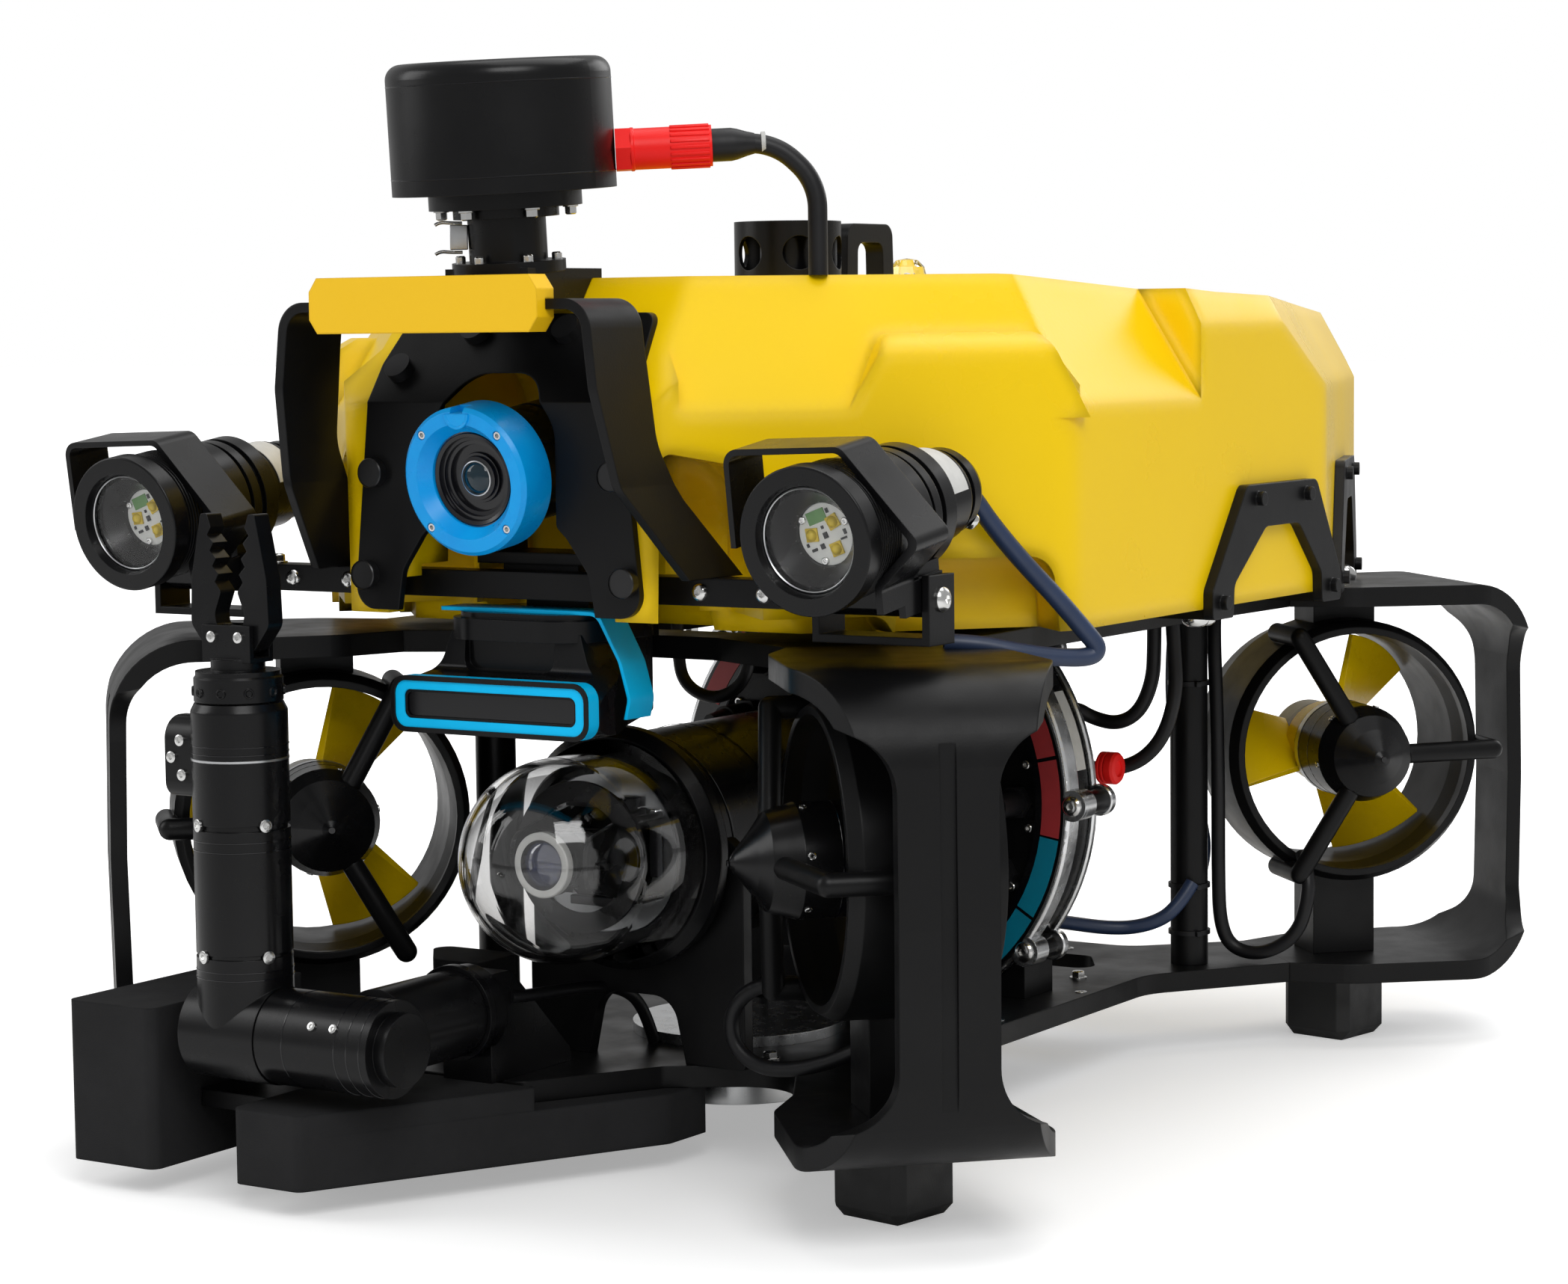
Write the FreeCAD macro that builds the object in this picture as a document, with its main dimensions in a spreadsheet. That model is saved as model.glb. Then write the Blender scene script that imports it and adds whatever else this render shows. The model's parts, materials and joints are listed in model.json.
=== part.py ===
# Underwater inspection ROV: a foam-topped open frame with vectored thrusters, an electronics pod with a clear
# dome, nose cameras and sonar, two lamps, a mast sonar and a small electric manipulator.
# Millimetres. +Z up, nose towards -Y, port side towards +X. The vehicle frame below has its Y zero midway between
# the front and rear thrusters; origin_shift moves the whole machine so that its base centre is the part's origin.
import FreeCAD, Part
import math
import os

import Sketcher
from FreeCAD import Placement, Rotation, Vector

doc = FreeCAD.newDocument("inspection_rov")

# ------------------------------------------------------------------------------------------ driving dimensions
DIMENSIONS = {
    "origin_shift": 25.5,
    # corner thrusters, turned 45 degrees
    "thruster_x": 186, "thruster_y": 271, "thruster_z": 183,
    "duct_radius": 81, "duct_throat": 72, "duct_half": 40,
    "motor_radius": 29.5, "motor_nose": 84, "motor_back": 8,
    "strut_radius": 6, "strut_reach": 84, "shaft_radius": 4, "shaft_clearance": 0.05,
    "propeller_radius": 70, "propeller_hub": 26, "blade_tilt": 35,
    # vertical thrusters in tunnels through the float
    "lift_x": 120, "lift_y": -60, "tunnel_radius": 48, "tunnel_wall": 3, "lift_z": 380,
    # plates and posts
    "plate_low": 42, "plate_thick": 12, "frame_low": 274, "frame_thick": 12,
    "post_x": 130, "post_y": 180, "post_radius": 11.5,
    "guard_reach": 113, "guard_bar": 9, "guard_half": 25, "flange_half": 66, "flange_inner": 45,
    "foot_side": 48, "foot_height": 42, "foot_chamfer": 6, "foot_twist": 10,
    # float
    "float_bottom": 292, "float_top": 475, "nose_half": 98, "nose_y": 346, "side_half": 244, "flank_y": 185,
    "brow_low": 411, "brow_high": 458, "brow_y": 308, "side_end": 129, "tail_half": 150, "tail_y": 385,
    "shoulder_low": 407, "shoulder_inset": 44, "bump_top": 445,
    "bracket_thick": 6,
    # pod
    "pod_z": 171, "barrel_radius": 60, "drum_radius": 126, "drum_front": 27, "drum_length": 42,
    "ring_radius": 134, "ring_thick": 5, "dome_radius": 54.5, "dome_wall": 3.5, "dome_y": 297,
    # nose camera
    "camera_y": 300, "camera_z": 383.5, "camera_radius": 30, "bezel_radius": 38, "camera_pitch": 8,
    # sonar
    "sonar_face_y": 357, "sonar_face_z": 257.5, "sonar_half": 62.5, "sonar_face_high": 29,
    "sonar_top": 304,
    # lamps
    "lamp_x": 213, "lamp_y": 290, "lamp_z": 363, "lamp_pitch": 8, "lamp_ring": 36, "lamp_barrel": 33,
    "lamp_bar_top": 325,
    # nose hoop and mask
    "hoop_half": 96, "hoop_front": 399, "hoop_top": 464, "hoop_thick": 5, "mask_thick": 4, "mask_y": 350,
    # mast sonar
    "mast_y": 332, "mast_lean": 4, "head_radius": 59.5, "head_low": 519, "head_high": 585,
    # manipulator
    "arm_x": -122, "arm_y": 408, "arm_joint_z": 88, "arm_radius": 25, "wrist_z": 262, "base_axis_x": -45,
    "base_axis_z": 92,
    # sensors on the lower plate
    "dvl_y": 129, "dvl_radius": 50,
}
sheet = doc.addObject("Spreadsheet::Sheet", "Sizes")
for row, (alias, number) in enumerate(DIMENSIONS.items(), start=1):
    sheet.set(f"A{row}", alias.replace("_", " "))
    sheet.set(f"B{row}", str(number))
    sheet.setAlias(f"B{row}", alias)
doc.recompute()


class Size:
    """A sheet value that remembers its formula, so that a size worked out from it can be bound to the sheet."""

    def __init__(self, value, formula):
        self.value = value
        self.formula = formula

    def join(self, other, sign, left):
        other = other if isinstance(other, Size) else Size(other, repr(other))
        first, second = (self, other) if left else (other, self)
        values = {
            "+": lambda a, b: a + b,
            "-": lambda a, b: a - b,
            "*": lambda a, b: a * b,
            "/": lambda a, b: a / b,
        }
        return Size(values[sign](first.value, second.value), f"({first.formula} {sign} {second.formula})")

    def __add__(self, other):
        return self.join(other, "+", True)

    def __radd__(self, other):
        return self.join(other, "+", False)

    def __sub__(self, other):
        return self.join(other, "-", True)

    def __rsub__(self, other):
        return self.join(other, "-", False)

    def __mul__(self, other):
        return self.join(other, "*", True)

    def __rmul__(self, other):
        return self.join(other, "*", False)

    def __truediv__(self, other):
        return self.join(other, "/", True)

    def __neg__(self):
        return Size(-self.value, f"(0 - {self.formula})")

    def __float__(self):
        return float(self.value)


class Sizes:
    """Every sheet value as an attribute."""


S = Sizes()
for alias, number in DIMENSIONS.items():
    setattr(S, alias, Size(number, f"Sizes.{alias}"))


def number(size):
    return float(size)


def vector(x, y, z):
    return Vector(number(x), number(y), number(z))


# ------------------------------------------------------------------------------------------ building helpers
def bind(item, path, size):
    """Set a property, and tie it to the sheet when its size comes from there."""
    if isinstance(size, Size):
        item.setExpression(path, size.formula)


def put(item, place, turn=None):
    """Place an item, with each coordinate that comes from the sheet bound to it."""
    item.Placement = Placement(vector(*place), turn or Rotation())
    for letter, size in zip("xyz", place):
        bind(item, f"Placement.Base.{letter}", size)
    return item


def facing(direction):
    return Rotation(Vector(0, 0, 1), Vector(*direction))


def cylinder(name, radius, height, base, direction=(0, 0, 1)):
    item = doc.addObject("Part::Cylinder", name)
    item.Radius = number(radius)
    item.Height = number(height)
    bind(item, "Radius", radius)
    bind(item, "Height", height)
    return put(item, base, facing(direction))


def cone(name, low, high, height, base, direction=(0, 0, 1)):
    item = doc.addObject("Part::Cone", name)
    item.Radius1 = number(low)
    item.Radius2 = number(high)
    item.Height = number(height)
    bind(item, "Radius1", low)
    bind(item, "Radius2", high)
    bind(item, "Height", height)
    return put(item, base, facing(direction))


def box(name, low, high, turn=None):
    """A box between two corners, turned about its low corner."""
    item = doc.addObject("Part::Box", name)
    for side, a, b in zip(("Length", "Width", "Height"), low, high):
        setattr(item, side, number(b) - number(a))
        bind(item, side, b - a)
    return put(item, low, turn)


def sphere(name, radius, centre):
    item = doc.addObject("Part::Sphere", name)
    item.Radius = number(radius)
    bind(item, "Radius", radius)
    return put(item, centre)


def prism(name, sides, across, height, base, direction=(0, 0, 1)):
    """A regular prism whose corners lie on a circle of radius across."""
    item = doc.addObject("Part::Prism", name)
    item.Polygon = sides
    item.Circumradius = number(across)
    item.Height = number(height)
    return put(item, base, facing(direction))


def fuse(name, *items):
    item = doc.addObject("Part::MultiFuse", name)
    item.Shapes = list(items)
    return item


def common(name, *items):
    item = doc.addObject("Part::MultiCommon", name)
    item.Shapes = list(items)
    return item


def cut(name, base, *tools):
    item = doc.addObject("Part::Cut", name)
    item.Base = base
    item.Tool = tools[0] if len(tools) == 1 else fuse(name + "_tools", *tools)
    return item


def group(name, *items):
    item = doc.addObject("Part::Compound", name)
    item.Links = list(items)
    return item


def moved(name, source, place, turn):
    """The source inside a wrapper that carries its own placement."""
    item = group(name, source)
    return put(item, place, turn)


def rounded(points):
    """Lines and arcs through the points of a closed outline. A point's third number is its corner radius."""
    count = len(points)
    starts, ends, arcs = {}, {}, []
    for i, point in enumerate(points):
        corner = Vector(number(point[0]), number(point[1]), 0)
        radius = number(point[2]) if len(point) > 2 else 0.0
        if not radius:
            starts[i] = ends[i] = corner
            continue
        before = Vector(number(points[i - 1][0]), number(points[i - 1][1]), 0) - corner
        after = Vector(number(points[(i + 1) % count][0]), number(points[(i + 1) % count][1]), 0) - corner
        before.normalize()
        after.normalize()
        half = before.getAngle(after) / 2
        reach = radius / math.tan(half)
        middle = (before + after).normalize() * (radius / math.sin(half) - radius)
        ends[i] = corner + before * reach
        starts[i] = corner + after * reach
        arcs.append(Part.Arc(ends[i], corner + middle, starts[i]))
    lines = []
    for i in range(count):
        a, b = starts[i], ends[(i + 1) % count]
        if (b - a).Length > 1e-6:
            lines.append(Part.LineSegment(a, b))
    return lines + arcs


def sketch(body, name, plane, offset, loops):
    """A sketch on one of the body's origin planes, with loops given as corner lists or (x, y, radius) circles."""
    item = body.newObject("Sketcher::SketchObject", name)
    origin = [f for f in body.Origin.OriginFeatures if f.Role == plane + "_Plane"][0]
    item.AttachmentSupport = [(origin, "")]
    item.MapMode = "FlatFace"
    item.AttachmentOffset = Placement(Vector(0, 0, number(offset)), Rotation())
    bind(item, "AttachmentOffset.Base.z", offset)
    for loop in loops:
        if isinstance(loop, tuple):
            x, y, radius = loop
            circle = Part.Circle(Vector(number(x), number(y), 0), Vector(0, 0, 1), number(radius))
            index = item.addGeometry(circle, False)
            ring = item.addConstraint(Sketcher.Constraint("Radius", index, number(radius)))
            bind(item, f"Constraints[{ring}]", radius)
        else:
            for edge in rounded(loop):
                item.addGeometry(edge, False)
    return item


def plate(name, plane, low, high, *loops):
    """A body padded between two levels along the plane's axis: XY along Z, XZ along Y, YZ along X."""
    body = doc.addObject("PartDesign::Body", name)
    outward = plane != "XZ"
    flat = sketch(body, name + "_sketch", plane, low if outward else -high, loops)
    pad = body.newObject("PartDesign::Pad", name + "_pad")
    pad.Profile = flat
    pad.Length = number(high) - number(low)
    bind(pad, "Length", high - low)
    body.Tip = pad
    return body


def turned(name, section, angle=360):
    """A body revolved about its own Y axis from (radius, y) corners."""
    body = doc.addObject("PartDesign::Body", name)
    flat = sketch(body, name + "_sketch", "XY", 0, [section])
    spin = body.newObject("PartDesign::Revolution", name + "_revolution")
    spin.Profile = flat
    spin.ReferenceAxis = (flat, ["V_Axis"])
    spin.Angle = angle
    body.Tip = spin
    return body


def mirrored(points):
    """A closed outline from its +X half, listed in order away from the centre line."""
    half = [tuple(p) for p in points]
    other = [(-p[0], *p[1:]) for p in reversed(half)]
    return half + other


def fixed_shape(name, shape):
    item = doc.addObject("Part::Feature", name)
    item.Shape = shape
    return item


def tube_route(name, points, radius):
    """A cable: straight runs joined by tangent arcs, each as large as its two runs allow."""
    corners = [vector(*p) for p in points]
    edges, at = [], corners[0]
    for i in range(1, len(corners) - 1):
        before = corners[i - 1] - corners[i]
        after = corners[i + 1] - corners[i]
        reach = 0.45 * min(before.Length, after.Length)
        before.normalize()
        after.normalize()
        half = before.getAngle(after) / 2
        bend = reach * math.tan(half)
        middle = (before + after).normalize() * (bend / math.sin(half) - bend)
        enter, leave = corners[i] + before * reach, corners[i] + after * reach
        print(f"{name} bend {i}: radius {bend:.1f}")
        edges.append(Part.LineSegment(at, enter).toShape())
        edges.append(Part.Arc(enter, corners[i] + middle, leave).toShape())
        at = leave
    edges.append(Part.LineSegment(at, corners[-1]).toShape())
    path = Part.Wire(edges)
    start = corners[1] - corners[0]
    section = Part.Wire([Part.makeCircle(number(radius), corners[0], start)])
    shape = path.makePipeShell([section], True, False)
    wanted = path.Length * math.pi * number(radius) ** 2
    if abs(shape.Volume / wanted - 1) > 0.02:
        raise ValueError(f"{name}: tube volume {shape.Volume:.0f}, expected {wanted:.0f}")
    return fixed_shape(name, shape)


NODES = {}


def node(label, item):
    """Give a finished sub-part its name and the placement that puts it in the part's own frame."""
    wrapper = group(label + "_node", item)
    put(wrapper, (0, S.origin_shift, 0))
    wrapper.Label = label
    NODES[label] = wrapper
    return wrapper


SIDES = {"port": 1, "starboard": -1}
ENDS = {"front": -1, "rear": 1}
DIAGONAL = math.sqrt(0.5)
PLATE_TOP = S.plate_low + S.plate_thick
FRAME_TOP = S.frame_low + S.frame_thick


# ------------------------------------------------------------------------------------------ corner thrusters
def corner_frame(end, side):
    """Centre and turn of a corner thruster: local +Y is its nose, every nose pointing forward."""
    centre = (S.thruster_x * side, S.thruster_y * end, S.thruster_z)
    nose_x = -side if end < 0 else side
    angle = math.degrees(math.atan2(-1, nose_x)) - 90
    return centre, Rotation(Vector(0, 0, 1), angle)


def outward_sign(end, side):
    """Which way along the thruster's local X the guard lies."""
    centre, turn = corner_frame(end, side)
    outward = turn.inverted().multVec(Vector(side, end, 0))
    return 1 if outward.x > 0 else -1


def motor_section():
    radius = S.motor_radius
    return [
        (0, S.motor_nose), (5, S.motor_nose - 3), (17, S.motor_nose - 13), (25, S.motor_nose - 19),
        (radius, S.motor_nose - 34), (radius, S.motor_back), (S.shaft_radius, S.motor_back),
        (S.shaft_radius, -22), (0, -22),
    ]


def duct_section():
    throat, outer, half = S.duct_throat, S.duct_radius, S.duct_half
    return [
        (throat, -half), (outer - 5, -half), (outer, -14), (outer, half - 7), (outer - 4, half),
        (outer - 8, half), (throat + 2, half - 10), (throat, half - 24),
    ]


def strut(name, angle):
    """A rod from the motor out past the lip, with an elbow back onto the duct."""
    turn = math.radians(angle)
    out = Vector(math.cos(turn), 0, math.sin(turn))
    reach = number(S.strut_reach)
    inner = out * 20 + Vector(0, 60, 0)
    elbow = out * reach + Vector(0, 52, 0)
    run = elbow - inner
    arm = cylinder(name + "_arm", S.strut_radius, run.Length, inner, tuple(run))
    knee = sphere(name + "_knee", S.strut_radius, elbow)
    back = cylinder(name + "_back", S.strut_radius, 40, elbow, (0, -1, 0))
    return [arm, knee, back]


def thruster_duct(name, end, side):
    seam_clear = Rotation(Vector(0, 1, 0), 17)
    ring = moved(name + "_ring_turned", turned(name + "_ring", duct_section()), (0, 0, 0), seam_clear)
    centre, turn = corner_frame(end, side)
    base = 0 if outward_sign(end, side) > 0 else 180
    rods = []
    for step in (0, 120, 240):
        rods += strut(f"{name}_strut{step}", base + step)
    top = box(name + "_post_top", (-20, -17, S.duct_radius - 4), (20, 17, S.frame_low - S.thruster_z))
    low = box(name + "_post_low", (-20, -17, PLATE_TOP - S.thruster_z), (20, 17, 4 - S.duct_radius))
    frame = fuse(name + "_frame", fuse(name + "_posts", ring, top, low), fuse(name + "_rods", *rods))
    hub = moved(name + "_hub_turned", turned(name + "_hub", motor_section()), (0, 0, 0), seam_clear)
    body = cut(name + "_body", frame, hub)
    return moved(name, body, centre, turn)


def thruster_motor(name, end, side):
    centre, turn = corner_frame(end, side)
    return moved(name, turned(name + "_shape", motor_section()), centre, turn)


def blade(angle, root, tip, chord, tilt):
    """One propeller blade: a ruled shape between a steep root section and a flatter, wider tip section."""
    wires = []
    for radius, width, thick, lean in ((root, 0.7 * chord, 5, tilt + 22), (tip + 4, chord, 2.4, tilt - 8)):
        lean = math.radians(lean)
        along = Vector(math.cos(lean), 0, math.sin(lean)) * (width / 2)
        across = Vector(-math.sin(lean), 0, math.cos(lean)) * (thick / 2)
        corners = [along + across, across * -1 + along, along * -1 - across, across - along]
        corners = [Vector(c.x, c.z, radius) for c in corners]
        wires.append(Part.makePolygon(corners + corners[:1]))
    shape = Part.makeLoft(wires, True, True)
    shape.rotate(Vector(0, 0, 0), Vector(0, 1, 0), angle)
    return shape


def propeller_shape(hub, tip, chord, bore):
    """Hub with a bore for the motor shaft, and three blades trimmed to the tip circle. The axis is Y."""
    profile = [(bore, 6), (hub, 6), (hub, -16), (hub - 8, -26), (bore, -26)]
    wire = Part.makePolygon([Vector(r, y, 0) for r, y in profile + profile[:1]])
    core = Part.Face(wire).revolve(Vector(0, 0, 0), Vector(0, 1, 0), 360)
    blades = [blade(angle, hub - 5, tip, chord, number(S.blade_tilt)) for angle in (90, 210, 330)]
    ring = Part.makeCylinder(tip, 120, Vector(0, -60, 0), Vector(0, 1, 0))
    hole = Part.makeCylinder(bore, 120, Vector(0, -60, 0), Vector(0, 1, 0))
    wheel = core.fuse([b.translated(Vector(0, -13, 0)).common(ring) for b in blades])
    return wheel.cut(hole).removeSplitter()


def corner_thrusters():
    ducts, motors = [], []
    shape = propeller_shape(
        number(S.propeller_hub), number(S.propeller_radius), 64, number(S.shaft_radius + S.shaft_clearance)
    )
    for end_name, end in ENDS.items():
        for side_name, side in SIDES.items():
            label = f"{end_name}_{side_name}"
            ducts.append(thruster_duct("duct_" + label, end, side))
            motors.append(thruster_motor("motor_" + label, end, side))
            centre, turn = corner_frame(end, side)
            wheel = fixed_shape(f"propeller_{label}_shape", shape.copy())
            put(wheel, centre, turn)
            node("propeller_" + label, wheel)
    node("thruster_ducts", group("duct_group", *ducts))
    return motors


# ------------------------------------------------------------------------------------------ vertical thrusters
def lift_thrusters():
    tunnels, motors = [], []
    inner = S.tunnel_radius - S.tunnel_wall
    bore = number(S.shaft_radius + S.shaft_clearance)
    shape = propeller_shape(17, number(inner) - 2.5, 34, bore)
    upright = Rotation(Vector(1, 0, 0), 90)
    for side_name, side in SIDES.items():
        centre = (S.lift_x * side, S.lift_y, S.lift_z)
        name = "lift_" + side_name
        section = [(0, 52), (12, 48), (20, 34), (20, 8), (S.shaft_radius, 8), (S.shaft_radius, -22), (0, -22)]
        motors.append(moved(name + "_motor", turned(name + "_motor_shape", section), centre, upright))
        length = S.float_top - S.frame_low - S.frame_thick
        x, y = S.lift_x * side, S.lift_y
        outer = cylinder(name + "_outer", S.tunnel_radius, length, (x, y, FRAME_TOP))
        bore_tool = cylinder(name + "_bore", inner, length + 2, (x, y, FRAME_TOP - 1))
        wall = cut(name + "_wall", outer, bore_tool)
        rods = []
        for step in (30, 150, 270):
            turn = math.radians(step)
            out = (math.cos(turn), math.sin(turn), 0)
            start = (x + 15 * out[0], y + 15 * out[1], S.lift_z + 22)
            rods.append(cylinder(f"{name}_rod{step}", 4, inner - 14, start, out))
        hub = moved(name + "_hub", turned(name + "_hub_shape", section), centre, upright)
        tunnels.append(cut(name + "_tunnel", fuse(name + "_tube", wall, *rods), hub, above_deck(name)))
        wheel = fixed_shape(f"propeller_{name}_shape", shape.copy())
        put(wheel, centre, upright)
        node("propeller_" + name, wheel)
    node("lift_tunnels", group("tunnel_group", *tunnels))
    return motors


# ------------------------------------------------------------------------------------------ frame, guards, feet
def corner_cut(y_end, x_end, inner):
    """Where a plate meets a guard flange: the two ends of the 45 degree joint line."""
    reach = DIAGONAL * inner
    half = 42 * DIAGONAL
    x, y = S.thruster_x - reach, S.thruster_y - reach
    return [(x_end * (x + half), y_end * (y - half)), (x_end * (x - half), y_end * (y + half))]


def plates():
    front, rear = corner_cut(-1, 1, S.flange_inner), corner_cut(1, 1, S.flange_inner)
    outline = mirrored([
        (60, -S.thruster_y + 34, 20), (front[1][0], front[1][1]), (front[0][0], front[0][1]),
        (front[0][0] - 4, -110, 60), (front[0][0] - 4, 110, 60),
        (rear[0][0], rear[0][1]), (rear[1][0], rear[1][1]), (60, S.thruster_y - 34, 20),
    ])
    front_window = mirrored([(64, -205, 12), (64, -14, 8), (94, 6, 10), (94, 98, 14)])
    rear_window = mirrored([(88, 128, 14), (64, 205, 14)])
    holes = [(S.lift_x * side, S.lift_y, S.tunnel_radius - S.tunnel_wall) for side in SIDES.values()]
    upper = plate("upper_frame_body", "XY", S.frame_low, FRAME_TOP, outline, front_window, rear_window, *holes)
    node("upper_frame", upper)

    starboard_front = [(-p[0], *p[1:]) for p in reversed(front)]
    lower_outline = [
        (24, -240, 8), (84, -200, 30), (front[1][0], front[1][1]), (front[0][0], front[0][1]),
        (126, -120, 40), (126, 130, 40), (rear[0][0], rear[0][1]), (rear[1][0], rear[1][1]),
        (70, 215, 30), (-70, 215, 30), (-rear[1][0], rear[1][1]), (-rear[0][0], rear[0][1]),
        (-126, 130, 40), (-126, -120, 40),
        (starboard_front[1][0], starboard_front[1][1]), (starboard_front[0][0], starboard_front[0][1]),
        (-112, -268, 6), (-100, -312, 10), (-20, -312, 10),
    ]
    drum_slot = mirrored([(68, 14, 6), (68, 84, 6)])
    rear_slot = mirrored([(92, 130, 10), (66, 172, 10)])
    log_hole = (0, -S.dvl_y, S.dvl_radius)
    lower = plate(
        "base_plate_body", "XY", S.plate_low, PLATE_TOP, lower_outline, drum_slot, log_hole, rear_slot,
    )
    node("base_plate", lower)

    posts = []
    for x in (-1, 1):
        for y in (-1, 1):
            place = (S.post_x * x, S.post_y * y, PLATE_TOP)
            name = f"post_{x}_{y}".replace("-", "m")
            posts.append(cylinder(name, S.post_radius, S.frame_low - PLATE_TOP, place))
    node("frame_posts", group("post_group", *posts))


def guard(name, end, side):
    """A C-shaped corner guard. Local X points out of the corner; three outlines shape it."""
    reach, bar = S.guard_reach, S.guard_bar
    low, high = S.plate_low, FRAME_TOP
    side_view = [
        (-S.flange_inner, low), (reach, low, 46), (reach + 2, (low + high) / 2), (reach, high, 46),
        (-S.flange_inner, high), (-S.flange_inner, S.frame_low), (reach - bar, S.frame_low, 36),
        (reach + 2 - bar, (low + high) / 2), (reach - bar, PLATE_TOP, 36), (-S.flange_inner, PLATE_TOP),
    ]
    half, wide = S.guard_half, S.flange_half
    shape = [
        (wide, low), (wide, low + 16, 12), (half, low + 34, 30), (half, high - 38, 30), (wide, high - 20, 12),
        (wide, high),
    ]
    front_view = shape + [(-p[0], *p[1:]) for p in reversed(shape)]
    plan_view = [
        (-S.flange_inner, -42), (-10, -60, 30), (70, -wide, 34), (reach + 12, -half - 12, 10),
        (reach + 12, half + 12, 10), (70, wide, 34), (-10, 60, 30), (-S.flange_inner, 42),
    ]
    c_shape = plate(name + "_side", "XZ", -wide, wide, side_view)
    i_shape = plate(name + "_front", "YZ", -S.flange_inner, reach + 12, front_view)
    top = plate(name + "_plan", "XY", low, high, plan_view)
    groove = box(name + "_groove", (reach - 1, -4, low + 30), (reach + 8, 4, high - 26))
    body = cut(name + "_body", common(name + "_shape", c_shape, i_shape, top), groove)
    turn = Rotation(Vector(0, 0, 1), math.degrees(math.atan2(end, side)))
    return moved(name, body, (S.thruster_x * side, S.thruster_y * end, 0), turn)


def foot(name, end, side):
    """A square rubber foot with chamfered corners and base."""
    half = S.foot_side / 2
    block = box(name + "_block", (-half, -half, 0), (half, half, S.foot_height))
    item = doc.addObject("Part::Chamfer", name + "_chamfer")
    item.Base = block
    doc.recompute([block])
    size = number(S.foot_chamfer)
    chosen = []
    for index, edge in enumerate(block.Shape.Edges, start=1):
        upright = edge.BoundBox.ZLength > size
        base = edge.BoundBox.ZMax < size
        if upright or base:
            chosen.append((index, size, size))
    item.Edges = chosen
    turn = Rotation(Vector(0, 0, 1), -side * number(S.foot_twist))
    return moved(name, item, (S.thruster_x * side, S.thruster_y * end, 0), turn)


def guards_and_feet():
    feet, guards = [], {}
    for end_name, end in ENDS.items():
        for side_name, side in SIDES.items():
            label = f"{end_name}_{side_name}"
            guards[label] = guard("guard_" + label + "_part", end, side)
            feet.append(foot("foot_" + label, end, side))
    node("corner_guards", group("guard_group", *guards.values()))
    node("rubber_feet", group("foot_group", *feet))


# ------------------------------------------------------------------------------------------ float
def wall_frame(start, end):
    """The turn that takes local +X to a wall's outward side and +Y along it, walls running anticlockwise."""
    run = vector(end[0], end[1], 0) - vector(start[0], start[1], 0)
    return Rotation(Vector(0, 0, 1), math.degrees(math.atan2(run.y, run.x)) - 90), run.Length


def on_wall(name, item, start, end):
    turn, _ = wall_frame(start, end)
    return moved(name, item, (start[0], start[1], 0), turn)


def shoulder(name, start, end, low, inset, first=None, last=None):
    """A wedge that slopes the wall inwards from a level up to the float's top."""
    _, run = wall_frame(start, end)
    first = -60 if first is None else first
    last = run + 60 if last is None else last
    top = S.float_top + 1
    section = [(0, low), (30, low), (30, top), (-inset, top)]
    return on_wall(name, plate(name + "_wedge", "XZ", first, last, section), start, end)


def opposite(item, name):
    """The starboard twin of a port-side tool."""
    twin = doc.addObject("Part::Mirroring", name)
    twin.Source = item
    twin.Base = Vector(0, 0, 0)
    twin.Normal = Vector(1, 0, 0)
    return twin


def both(items):
    return items + [opposite(item, item.Name + "_twin") for item in items]


FLANK = ((S.nose_half, -S.nose_y), (S.side_half, -S.flank_y))
SIDE = ((S.side_half, -S.flank_y), (S.side_half, S.side_end))
TAIL = ((S.side_half, S.side_end), (S.tail_half, S.tail_y))
REAR = ((S.tail_half, S.tail_y), (-S.tail_half, S.tail_y))


def above_deck(name):
    """The space above the float's top, which falls gently towards the tail."""
    return plate(name + "_deck", "YZ", -260, 260, [
        (-210, 540), (-210, S.float_top + 2), (0, S.float_top - 10), (250, S.float_top - 18),
        (420, S.float_top - 23), (420, 540),
    ])


def flank_bump():
    """The raised panel that carries the flank's wall up through its slope."""
    top = S.bump_top
    front = plate("bump_front", "YZ", -S.shoulder_inset + 4, 0.0, [
        (96, S.shoulder_low - 6), (228, S.shoulder_low - 6), (205, top, 8), (122, top, 8),
    ])
    side = plate("bump_side", "XZ", 80, 240, [
        (0, S.shoulder_low - 6), (0, top - 8, 8), (-14, top, 6), (-S.shoulder_inset + 2, top + 4),
        (-S.shoulder_inset + 2, S.shoulder_low - 6),
    ])
    return on_wall("bump", common("bump_body", front, side), *FLANK)


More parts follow.
